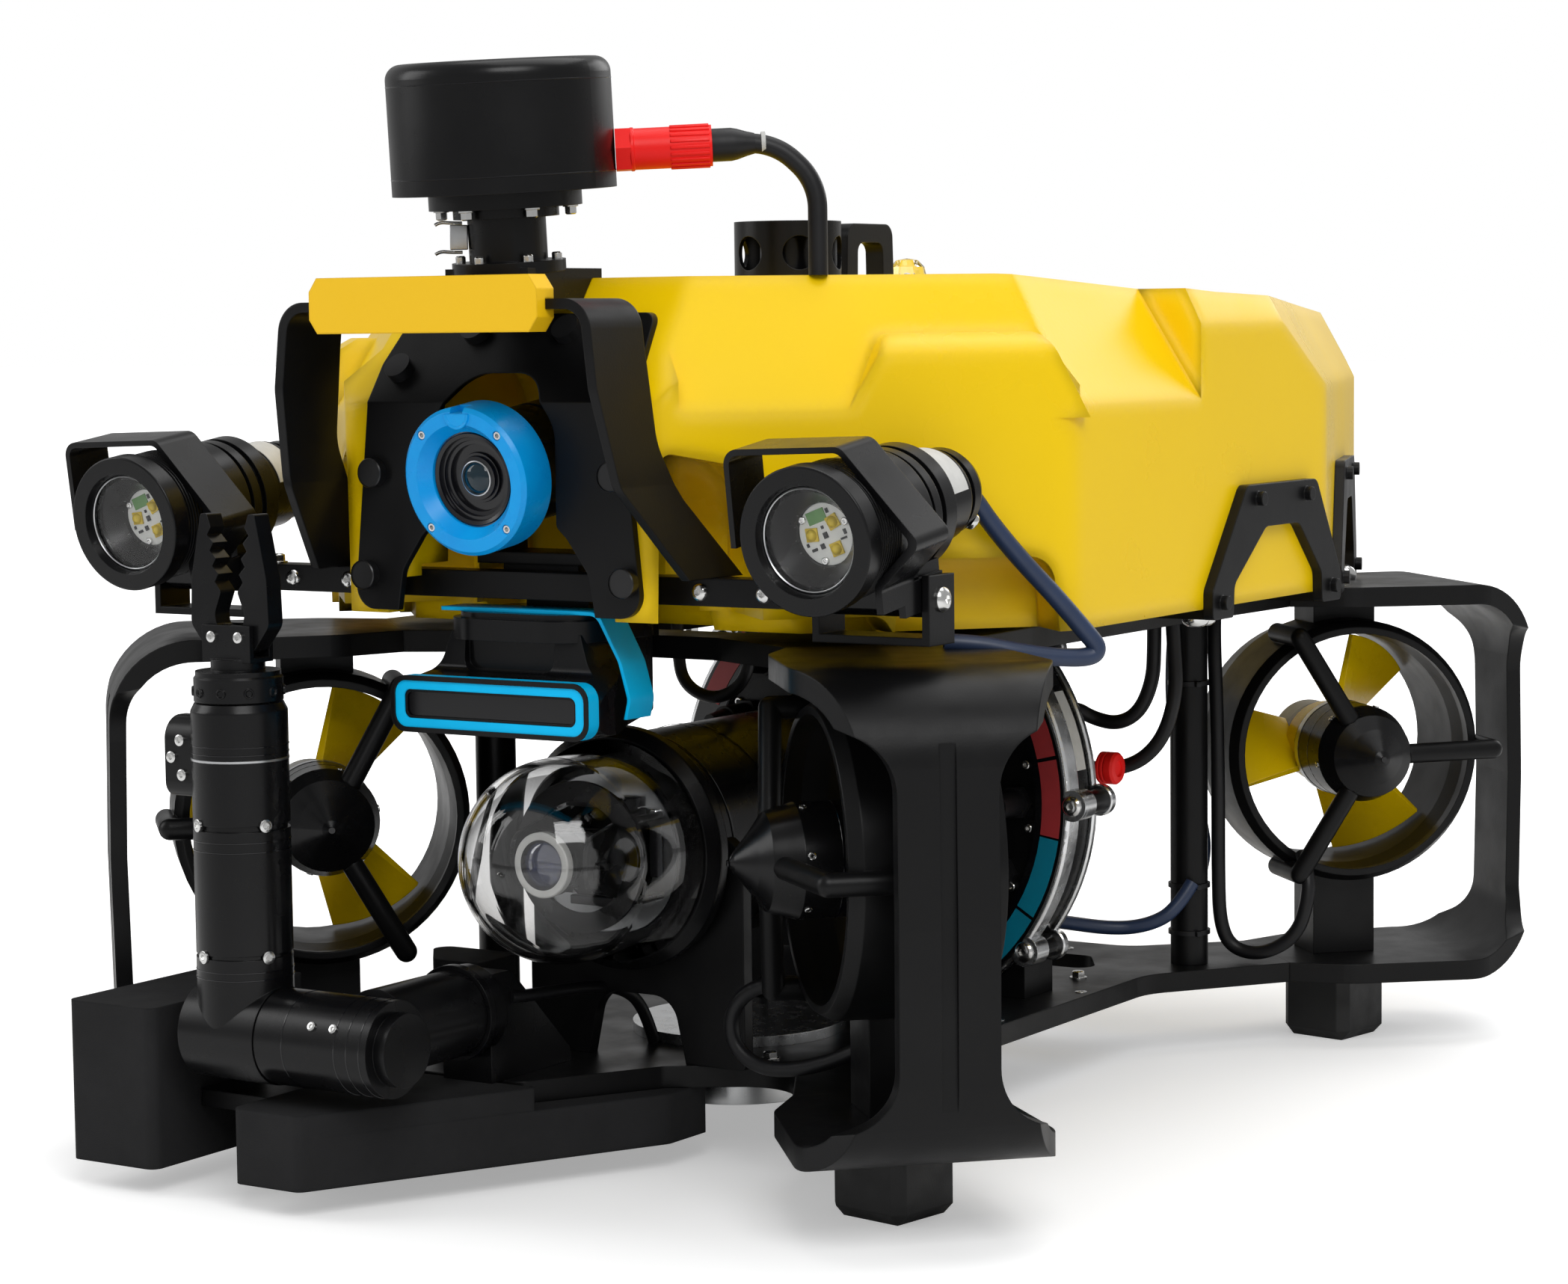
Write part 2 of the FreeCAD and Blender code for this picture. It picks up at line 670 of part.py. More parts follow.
def float_block():
    outline = mirrored([
        (S.nose_half, -S.nose_y, 10), (S.side_half, -S.flank_y, 26), (S.side_half, S.side_end, 30),
        (S.tail_half, S.tail_y, 18),
    ])
    block = plate("float_outline", "XY", S.float_bottom, S.float_top, outline)
    low = S.shoulder_low
    slopes = [
        shoulder("flank_slope", *FLANK, low, S.shoulder_inset, 12, None),
        shoulder("side_slope_front", *SIDE, low, S.shoulder_inset, 10, 150),
        shoulder("side_slope_rear", *SIDE, 448, 14, 149, None),
        shoulder("tail_slope", *TAIL, low + 4, 36),
    ]
    high = S.float_bottom - 1
    arch = plate("arch_outline", "YZ", -70, 8, [(0, high), (54, high), (54, 378, 20), (2, 388, 6)])
    lobe = plate("lobe_outline", "YZ", -40, 8, [(50, high), (124, high), (116, 303, 10), (58, 303, 10)])
    notch = plate("notch_outline", "YZ", -34, 8, [(122, high), (211, high), (207, 331, 14), (127, 331, 14)])
    pockets = [on_wall(item.Name + "_cut", item, *FLANK) for item in (arch, lobe, notch)]
    nose = -S.nose_y - 2
    belly = plate("belly_outline", "YZ", -60, 60, [(nose, high), (nose, 436, 30), (-236, 436, 40), (-236, high)])
    chin = plate("chin_outline", "YZ", -72, 72, [(nose, high), (nose, 322), (-232, 322, 16), (-232, high)])
    bar_slot = box("bar_slot", (-132, -333, S.float_bottom - 1), (132, -309, 328))
    drum = plate("drum_outline", "YZ", -96, 96, [(0, high), (0, 326, 20), (92, 326, 20), (92, high)])
    tunnels = []
    for side_name, side in SIDES.items():
        x = S.lift_x * side
        tunnels.append(cylinder("tunnel_hole_" + side_name, S.tunnel_radius, 220, (x, S.lift_y, S.float_bottom - 9)))
    brow = plate("brow_outline", "YZ", -260, 260, [
        (-420, 520), (-420, S.brow_low), (-S.nose_y - 1, S.brow_low), (-S.brow_y, S.brow_high, 14),
        (-S.brow_y + 16, S.float_top + 5), (-S.brow_y + 16, 520),
    ])
    chin_step = plate("chin_step", "YZ", -250, 250, [(-420, high), (-420, 303), (-262, 303), (-256, high)])
    hollows = [*both(pockets), belly, chin, chin_step, bar_slot, drum, *tunnels]
    body = cut("float_body", block, *both(slopes), brow, above_deck("float"), *hollows)
    node("float_block", fuse("float_with_bumps", body, *both([flank_bump()])))


def bracket(name, start, end, first, last, top_first, top_last, low, high):
    """A bolted side bracket: an arched plate on the float's wall with a foot hooked under it."""
    thick = number(S.bracket_thick)
    face = plate(
        name + "_face", "YZ", 0.0, thick,
        [
            (first, low, 3), (first + 26, low, 3), (first + 27, low + 18, 8), (top_first + 24, high - 24, 10),
            (top_last - 24, high - 24, 10), (last - 27, low + 18, 8), (last - 26, low, 3), (last, low, 3),
            (last, low + 16, 8), (top_last, high, 8), (top_first, high, 8), (first, low + 16, 8),
        ],
    )
    hooks = [box(f"{name}_hook{i}", (-48, a, FRAME_TOP), (thick, a + 20, S.float_bottom))
             for i, a in enumerate((first + 4, last - 24))]
    spots = ((first + 12, low + 9), (last - 12, low + 9), (top_first + 14, high - 8), (top_last - 14, high - 8))
    bolts = [cylinder(f"{name}_bolt{i}", 4, 4, (thick, y, z), (1, 0, 0)) for i, (y, z) in enumerate(spots)]
    return on_wall(name, fuse(name + "_body", face, *hooks, *bolts), start, end)


def float_brackets():
    side = bracket("side_bracket", *SIDE, 152, 330 - 8, 196, 288, FRAME_TOP, 358)
    tail = bracket("tail_bracket", *TAIL, 48, 192, 78, 168, FRAME_TOP, 364)
    node("float_brackets", group("bracket_group", *both([side, tail])))


# ------------------------------------------------------------------------------------------ electronics pod
def along_y(name, section, y, x=0, z=None):
    """A turned body whose local +Y points forward from a place."""
    height = S.pod_z if z is None else z
    return moved(name, turned(name + "_turned", section), (x, y, height), Rotation(Vector(0, 0, 1), 180))


def pod():
    radius = S.barrel_radius
    barrel = along_y("barrel", [(0, 0), (radius, 0), (radius, 252, 2), (0, 252)], 16)
    collar = along_y("collar", [(0, 0), (66, 0, 2), (66, 8, 2), (S.dome_radius + 6, 14), (0, 14)], -236)
    node("pod_barrel", fuse("barrel_and_collar", barrel, collar))

    front, height = 46, S.dome_radius
    shell = along_y("dome_shell", [
        (0, front + height), (height, front + height, height), (height, 3), (height + 5, 3), (height + 5, 0),
        (height - S.dome_wall, 0), (height - S.dome_wall, front + height - S.dome_wall, height - S.dome_wall),
        (0, front + height - S.dome_wall),
    ], -250)
    node("dome", shell)

    stands = []
    for i, (low, high) in enumerate(((-230, -222), (-62, -54))):
        outline = [
            (-70, PLATE_TOP, 2), (-70, S.pod_z, 14), (-40, S.pod_z + 22, 10), (40, S.pod_z + 22, 10),
            (70, S.pod_z, 14), (70, PLATE_TOP, 2), (32, PLATE_TOP), (24, 90, 16), (-24, 90, 16), (-32, PLATE_TOP),
        ]
        body = plate(f"stand{i}", "XZ", low, high, outline)
        hole = cylinder(f"stand{i}_hole", S.barrel_radius, 60, (0, low - 20, S.pod_z), (0, 1, 0))
        stands.append(cut(f"stand{i}_body", body, hole))
    length = S.drum_length
    drum = along_y("drum", [(0, 0), (S.drum_radius, 0, 2), (S.drum_radius, length, 2), (0, length)], 62)
    ring_profile = [
        (S.drum_radius, length - 10), (S.ring_radius, length - 10, 1), (S.ring_radius, length + 4, 2),
        (S.drum_radius - 14, length + 4, 2), (S.drum_radius - 14, length), (S.drum_radius, length),
    ]
    ring = turned("clamp_ring_turned", ring_profile)
    lugs = []
    for i, angle in enumerate((0, 40, 140, 180, 220, 320)):
        turn = math.radians(angle)
        at = (136 * math.cos(turn), length - 10, 136 * math.sin(turn))
        lugs.append(cylinder(f"lug{i}", 9, 14, at, (0, 1, 0)))
    inner = cylinder("clamp_inner", S.drum_radius, 60, (0, length - 60, 0), (0, 1, 0))
    clamp = cut("clamp_body", fuse("clamp_fuse", ring, *lugs), inner)
    node("drum_clamp", moved("clamp_turned", clamp, (0, 62, S.pod_z), Rotation(Vector(0, 0, 1), 180)))
    cap = along_y("rear_cap", [(0, 0), (50, 0, 6), (58, 30, 4), (58, 46), (0, 46)], 106)
    node("pod_drum", fuse("drum_and_cap", drum, cap))

    saddles = []
    for x in (-1, 1):
        low, high = sorted((70 * x, 100 * x))
        saddles.append(box(f"saddle_{x}".replace("-", "m"), (low, 24, PLATE_TOP), (high, 58, 74)))
    drum_tool = cylinder("saddle_tool", S.drum_radius, 120, (0, -10, S.pod_z), (0, 1, 0))
    ring_tool = cylinder("saddle_ring_tool", S.ring_radius + 0.5, 60, (0, -20, S.pod_z), (0, 1, 0))
    ring_cut = common("saddle_ring_cut", ring_tool, box("saddle_zone", (-160, 0, 20), (160, 36, 330)))
    feet = cut("saddle_body", fuse("saddle_fuse", *saddles), drum_tool, ring_cut)
    node("pod_stands", group("stand_group", feet, *stands))


def dome_module():
    """The tilting camera inside the dome, on a plate with two side arms."""
    disc = cylinder("module_disc", 45, 3, (0, -253, S.pod_z), (0, 1, 0))
    sides = []
    for side in (-1, 1):
        name = f"module_side_{side}".replace("-", "m")
        low, high = sorted((22 * side, 25 * side))
        arm_plate = plate(name, "YZ", low, high, [
            (-253, 146), (-253, 196), (-285, 190, 8), (-308, 184, 10), (-308, 158, 10), (-285, 152, 8),
        ])
        axle_hole = cylinder(name + "_hole", 3.1, 60, (-30, -296, S.pod_z), (1, 0, 0))
        sides.append(cut(name + "_cut", arm_plate, axle_hole))
    rods = [cylinder(f"module_rod{i}", 2, 26, (x, -253, z), (0, -1, 0)) for i, (x, z) in
            enumerate(((34, 192), (-34, 192), (34, 150), (-34, 150)))]
    half_ring = cut("module_ring", cylinder("module_ring_out", 41, 2.5, (0, -279, S.pod_z), (0, -1, 0)),
                    cylinder("module_ring_in", 30, 10, (0, -275, S.pod_z), (0, -1, 0)))
    node("dome_frame", fuse("module_body", disc, half_ring, *rods, *sides))
    eye_section = [(0, 0), (15, 0, 2), (15, 22), (17, 22), (17, 30, 1), (13, 30), (11, 27), (0, 25)]
    barrel = along_y("eye_barrel", eye_section, -284)
    block = box("eye_block", (-19, -292, S.pod_z - 15), (19, -276, S.pod_z + 15))
    axle = cylinder("eye_axle", 3, 58, (-29, -296, S.pod_z), (1, 0, 0))
    node("dome_camera", fuse("eye_body", barrel, block, axle))


def connectors():
    """Bulkhead connectors round the drum's front face, each with its hexagon, sleeve and boot."""
    parts = []
    for ring, (radius, count, start) in enumerate(((72, 10, 8), (98, 14, 0))):
        for i in range(count):
            angle = math.radians(start + 360 * i / count)
            if 235 < math.degrees(angle) % 360 < 305 and ring == 1:
                continue
            x, z = radius * math.cos(angle), number(S.pod_z) + radius * math.sin(angle)
            name = f"plug{ring}_{i}"
            face = number(S.drum_front) - 7
            parts.append(prism(name + "_hex", 6, 10, 5, (x, face, z), (0, -1, 0)))
            parts.append(cylinder(name + "_sleeve", 7.5, 22, (x, face - 5, z), (0, -1, 0)))
            parts.append(cone(name + "_boot", 6, 4, 16, (x, face - 27, z), (0, -1, 0)))
    node("connectors", group("connector_group", *parts))


# ------------------------------------------------------------------------------------------ nose camera and sonar
def ahead(pitch):
    """Local +Y forward and down by the pitch."""
    return Rotation(Vector(1, 0, 0), number(pitch)).multiply(Rotation(Vector(0, 0, 1), 180))


def at_camera(name, item):
    return moved(name, item, (0, -S.camera_y, S.camera_z), ahead(S.camera_pitch))


def nose_camera():
    radius, ring = S.camera_radius, S.bezel_radius
    housing = at_camera("camera_housing_part", turned("camera_housing_turned", [
        (0, -40), (radius - 6, -40, 4), (radius, -30), (radius, 14), (radius - 1.5, 14), (radius - 1.5, 18),
        (radius, 18), (radius, 52), (0, 52),
    ]))
    node("camera_housing", housing)
    ring_body = turned("bezel_turned", [
        (24.5, 52), (ring, 52), (ring, 73), (ring - 2, 75), (29.5, 75), (24.5, 68),
    ])
    screws = [cylinder(f"bezel_screw{i}", 2.4, 6, (33.5 * math.cos(a), 70, 33.5 * math.sin(a)), (0, 1, 0))
              for i, a in enumerate(math.radians(45 + 90 * k) for k in range(4))]
    notch = box("bezel_notch", (-4, 66, ring - 3), (4, 80, ring + 3))
    node("camera_bezel", at_camera("bezel_part", cut("bezel_cut", ring_body, notch, *screws)))
    lens = turned("lens_turned", [
        (0, 52), (24.5, 52), (24.5, 66), (22, 66), (21, 62), (18, 62), (17, 58), (12, 58), (11, 61), (7, 62.5),
        (0, 63.2),
    ])
    node("camera_lens", at_camera("lens_part", lens))
    cheeks = []
    for x in (-1, 1):
        inner = number(radius) + 0.4
        low, high = sorted((inner * x, (inner + 5) * x))
        name = f"cheek_{x}".replace("-", "m")
        cheeks.append(box(name, (low, -S.camera_y - 14, 334), (high, -S.camera_y + 20, 400)))
    bridge = box("cheek_bridge", (-38, -S.camera_y - 14, 328), (38, -S.camera_y + 20, 334))
    foot_plate = box("cheek_foot", (-24, -S.camera_y - 10, FRAME_TOP + 29), (24, -S.camera_y + 62, 328))
    neck = box("cheek_neck", (-24, -S.camera_y + 46, FRAME_TOP), (24, -S.camera_y + 62, 328))
    node("camera_bracket", fuse("camera_bracket_body", *cheeks, bridge, foot_plate, neck))


def sonar():
    """The sonar: a framed window, a body that narrows upwards, an oval cap over a recessed neck, and a blue strap."""
    half, tall = S.sonar_half, S.sonar_face_high / 2
    z, top = S.sonar_face_z, S.sonar_top
    front = -S.sonar_face_y
    ring = plate("sonar_ring_outline", "XZ", front, front + 9, mirrored([(half, z - tall, 9), (half, z + tall, 9)]))
    window = plate("sonar_window_outline", "XZ", front - 1, front + 3, mirrored([
        (half - 8, z - tall + 7, 4), (half - 8, z + tall - 7, 4),
    ]))
    node("sonar_face", cut("sonar_face_body", ring, window))

    side_view = [
        (front + 9, z - tall), (front + 9, z + tall - 1), (front + 22, 274, 5), (front + 24, top - 10),
        (-262, top - 10), (-262, 250, 8), (-318, z - tall, 14),
    ]
    front_view = mirrored([(half - 0.5, z - tall, 8), (half - 0.5, 262, 16), (46, 279, 14), (41, top - 10)])
    top_view = mirrored([(half - 0.5, front + 9, 2), (55, front + 34, 20), (46, -300, 14), (38, -262, 6)])
    block = common(
        "sonar_block", plate("sonar_side", "YZ", -half, half, side_view),
        plate("sonar_front", "XZ", front + 9, -262, front_view), plate("sonar_plan", "XY", 236, 296, top_view),
    )
    recess = plate("sonar_recess", "XZ", front + 6, front + 27, [
        (-32, 274, 6), (-32, 300), (25, 300), (25, 274, 6),
    ])
    cap_low = plate("sonar_cap_low", "XY", top - 14, top - 3, mirrored([(47, -341, 26), (47, -264, 18)]))
    cap_top = plate("sonar_cap_top", "XY", top - 3, top, mirrored([(43, -337, 22), (43, -268, 14)]))
    node("sonar_body", fuse("sonar_body_fuse", cut("sonar_necked", block, recess), cap_low, cap_top))

    strap = plate("sonar_band_outline", "XZ", -330, -309, [
        (-50, top), (-50, top + 2), (50, top + 2, 9), (64, 281, 14), (69.5, 262, 10), (67, 252),
        (65, 252), (67.5, 262, 8), (62, 281, 12), (48.6, top, 7),
    ])
    node("sonar_band", strap)

    arm = box("sonar_arm", (-20, -296, top + 0.3), (20, -272, 315))
    node("sonar_mount", arm)


def mask():
    """The nose plate: a sheet bent back along the brow, with an arch for the camera and one for the sonar."""
    face, thick = -S.mask_y, S.mask_thick
    lean = (-S.brow_y + S.nose_y + 1) / (S.brow_high - S.brow_low)
    rise = 462 - S.brow_low
    back_high = (face + thick - 1.3 + lean * rise, 462)
    outer_high = (back_high[0] - 3, 464)
    profile = [
        (face, 296), (face, S.brow_low + 1.5), outer_high, back_high, (face + thick - 1.2, S.brow_low),
        (face + thick, S.brow_low - 2), (face + thick, 296),
    ]
    sheet_body = plate("mask_profile", "YZ", -110, 110, profile)
    outline = mirrored([
        (91, 305, 12), (80, 412, 30), (82, 432, 12), (77, 457, 8),
    ])
    silhouette = plate("mask_outline", "XZ", face - 4, -290, outline)
    arch = plate("mask_arches", "XZ", face - 6, -280, mirrored([
        (64, 296), (59, 326, 14), (46, 344, 6), (39.5, 350, 4), (39.5, 400, 24), (20, 427, 22),
    ]))
    node("mask_plate", cut("mask_body", common("mask_sheet", sheet_body, silhouette), arch))
    studs = []
    for i, (x, z) in enumerate(((82, 323), (76, 376))):
        for side in (-1, 1):
            name = f"stud{i}_{side}".replace("-", "m")
            studs.append(cylinder(name, 7.5, 5, (x * side, face, z), (0, -1, 0)))
    slope = (0, -float(S.brow_high - S.brow_low), float(S.nose_y - S.brow_y))
    for i, (x, z) in enumerate(((67, 428), (29, 447))):
        for side in (-1, 1):
            name = f"brow_stud{i}_{side}".replace("-", "m")
            y = number(face) + (z - number(S.brow_low)) * number(lean) - 1.2
            studs.append(cylinder(name, 7.5, 6, (x * side, y, z), slope))
    seat = plate("mask_seat", "YZ", -110, 110, profile)
    node("mask_studs", cut("mask_studs_seated", group("stud_group", *studs), seat))


def hoop():
    """A flat bar bent over the nose, its legs leaning back onto the lamp bar, with a yellow bumper."""
    half, top, thick = S.hoop_half, S.hoop_top, S.hoop_thick
    front, back = -S.hoop_front, -S.hoop_front + 44
    low = S.lamp_bar_top
    points = [(-120, low), (-106, 372, 8), (-half, top, 16), (half, top, 16), (106, 372, 8), (120, low)]
    inner = [
        (120 - thick, low), (106 - thick, 372, 8), (half - thick, top - thick, 11),
        (-half + thick, top - thick, 11), (-106 + thick, 372, 8), (-120 + thick, low),
    ]
    band = plate("hoop_band", "XZ", front, -280, points + inner)
    lean = plate("hoop_side", "YZ", -140, 140, [
        (front, 480), (front, 420, 20), (-388, 372, 20), (-344, 318), (-296, 318), (-337, 364, 16), (-353, 392, 30),
        (back, 440, 20), (back, 480),
    ])
    node("front_hoop", common("hoop_body", band, lean))
    bumper = plate("bumper_outline", "XZ", front - 7, front + 7, [
        (-71, top - 9), (-66, top - 16), (66, top - 16), (71, top - 9), (71, top + 5), (66, top + 12),
        (-66, top + 12), (-71, top + 5),
    ])
    slot = box("bumper_slot", (-80, front, top - thick), (80, front + 20, top))
    node("hoop_bumper", cut("bumper_body", bumper, slot))


# ------------------------------------------------------------------------------------------ lamps
def lamp(side_name, side):
    place = (S.lamp_x * side, -S.lamp_y, S.lamp_z)
    ring, barrel = S.lamp_ring, S.lamp_barrel
    blank = turned(f"lamp_{side_name}_blank", [
        (0, -36), (18, -36, 4), (22, -28), (22, -22), (20, -22), (20, -18), (24, -16, 2), (24, 10),
        (barrel - 1, 14), (barrel - 1, 24), (barrel - 4, 24), (barrel - 4, 28), (barrel - 1, 28), (barrel - 1, 34),
        (barrel - 4, 34), (barrel - 4, 38), (barrel, 38), (barrel, 92), (ring, 92), (ring, 103, 1), (0, 103),
    ])
    cup = turned(f"lamp_{side_name}_cup", [
        (0, 80), (15.5, 80), (15.5, 84), (23, 95), (25.5, 95), (25.5, 98), (27.5, 104), (0, 104),
    ])
    hood = plate(f"lamp_{side_name}_hood", "XZ", -84, -54, [
        (-54, -8), (-54, 40, 8), (12, 42, 8), (52, -4, 6), (28.6, -26, 4), (28.6, -38), (25, -38), (25, -24, 4),
        (46.5, -3.5, 4), (10.5, 39, 6), (-51, 37, 5), (-51, -8),
    ])
    hood = moved(f"lamp_{side_name}_hood_turned", hood, (0, 0, 0), Rotation(Vector(0, 0, 1), 180))
    saddle = box(f"lamp_{side_name}_saddle", (-27, 27, -44), (27, 47, -22))
    leg = box(f"lamp_{side_name}_leg", (-28.6, 27, -44), (-25, 64, -28))
    boss = cylinder(f"lamp_{side_name}_boss", 9, 54, (-27, 37, -40.3), (1, 0, 0))
    keep = cut(f"lamp_{side_name}_body", fuse(f"lamp_{side_name}_fuse", blank, hood, leg, saddle, boss), cup)
    node("lamp_" + side_name, moved(f"lamp_{side_name}_part", keep, place, ahead(S.lamp_pitch)))
    board = [cylinder(f"board_{side_name}", 15.5, 1.6, (0, 80, 0), (0, 1, 0))]
    for i, (x, z) in enumerate(((-7, -4), (7, -4), (0, 8))):
        board.append(box(f"led_{side_name}{i}", (x - 3.2, 81.6, z - 3.2), (x + 3.2, 83, z + 3.2)))
    turn = ahead(S.lamp_pitch)
    lit = fuse(f"board_{side_name}_body", *board)
    node(f"lamp_{side_name}_board", moved(f"board_{side_name}_part", lit, place, turn))
    glass = cylinder(f"glass_{side_name}", 25.5, 3, (0, 95, 0), (0, 1, 0))
    node(f"lamp_{side_name}_glass", moved(f"glass_{side_name}_part", glass, place, turn))


def lamp_bar():
    y, low, high = -321, 311, S.lamp_bar_top
    parts = [box("bar", (-180, y - 8, low), (180, y + 8, high))]
    for side in (-1, 1):
        name = f"yoke_{side}".replace("-", "m")
        for inner, outer in ((180, 184), (242, 246)):
            a, b = sorted((inner * side, outer * side))
            parts.append(box(f"{name}_{inner}", (a, y - 12, 296), (b, y + 12, 330)))
        a, b = sorted((180 * side, 246 * side))
        parts.append(box(name + "_base", (a, y - 12, 296), (b, y + 12, 300)))
    node("lamp_bar", fuse("lamp_bar_body", *parts))


# ------------------------------------------------------------------------------------------ mast and top fittings
def on_mast(name, item):
    return moved(name, item, (0, -S.mast_y, S.float_top), Rotation(Vector(1, 0, 0), number(S.mast_lean)))


def mast_seat():
    """The wedge under the mast's flange that meets the sloping brow."""
    wedge = plate("mast_seat_side", "YZ", -26, 26, [
        (-S.mast_y - 20, S.float_top + 5), (-S.mast_y + 44, S.float_top + 5), (-S.mast_y + 44, S.float_top),
        (-S.brow_y + 11.5, S.float_top), (-S.brow_y + 0.2, S.brow_high + 2), (-S.mast_y - 20, S.brow_high + 4),
    ])
    back = moved("mast_seat_frame", wedge, (0, S.mast_y, -S.float_top), Rotation())
    return moved("mast_seat", back, (0, 0, 0), Rotation(Vector(1, 0, 0), -number(S.mast_lean)))


def mast():
    low, high = number(S.head_low - S.float_top), number(S.head_high - S.float_top)
    post = fuse(
        "mast_post_fuse", mast_seat(), cylinder("mast_foot", 29, 6, (0, 0, 3)),
        cylinder("mast_tube", 20, low - 14, (0, 0, 6)), cylinder("mast_neck", 27, 5, (0, 0, low - 13)),
        cylinder("mast_cap", 39, 8, (0, 0, low - 8)),
    )
    node("mast_post", on_mast("mast_post_part", post))
    radius = S.head_radius - 2.5
    head = cylinder("head_blank", radius, high - low, (0, 0, low))
    item = doc.addObject("Part::Fillet", "head_rounded")
    item.Base = head
    item.Edges = [(1, 8, 8), (3, 8, 8)]
    node("sonar_head", on_mast("head_part", item))
    out = (math.cos(math.radians(35)), math.sin(math.radians(35)), 0)
    reach, level = number(radius) - 1.0, 62
    at = lambda d: (out[0] * d, out[1] * d, level)
    hexagon = prism("mast_hex", 6, 12, 8, at(reach + 1.2), out)
    sleeve = cylinder("mast_sleeve", 10.5, 41, at(reach + 9.2), out)
    node("mast_connector", on_mast("mast_connector_part", fuse("mast_connector_body", hexagon, sleeve)))
    start = number(S.mast_lean)
    turn = Rotation(Vector(1, 0, 0), start)
    base = vector(0, -S.mast_y, S.float_top)
    tip = base + turn.multVec(Vector(*at(reach + 50.2)))
    next_point = base + turn.multVec(Vector(*at(reach + 82)))
    drop_x, drop_y = next_point.x + 18, next_point.y + 12
    cable = tube_route("mast_cable_tube", [
        tuple(tip), tuple(next_point), (drop_x, drop_y, 522), (drop_x, drop_y, S.float_top),
    ], 5)
    node("mast_cable", cable)


def top_fittings():
    """The beacon in its slotted cage, the lifting handle and the strobe, each seated on the sloping deck."""
    top, root = S.float_top, S.float_top - 16
    outer = cylinder("cage_outer", 30.5, 49, (0, -68, root))
    wall = cut("cage_wall", outer, cylinder("cage_inner", 28, 46, (0, -68, root - 1)))
    holes = []
    for i in range(6):
        angle = math.radians(60 * i + 15)
        out = (math.cos(angle), math.sin(angle), 0)
        holes.append(cylinder(f"cage_hole{i}", 9.5, 40, (0, -68, top + 15), out))
    core = common("beacon_core", cylinder("beacon_post", 16, 40, (0, -68, root)), above_deck("core"))
    cage = common("cage_seated", cut("cage_body", wall, *holes), above_deck("cage"))
    node("beacon", group("beacon_group", cage, core))
    handle = plate("handle_outline", "YZ", -6, 6, [
        (-14, root), (-12, top + 33, 8), (38, top + 33, 8), (40, root), (28, root), (27, top + 22, 6),
        (-1, top + 22, 6), (-2, root),
    ])
    node("lifting_handle", common("handle_seated", handle, above_deck("handle")))
    strobe = fuse("strobe_fuse", cylinder("strobe_base", 11.5, 20, (0, 65, root)),
                  prism("strobe_lens", 8, 11, 17, (0, 65, top + 4)))
    node("strobe", common("strobe_seated", strobe, above_deck("strobe")))


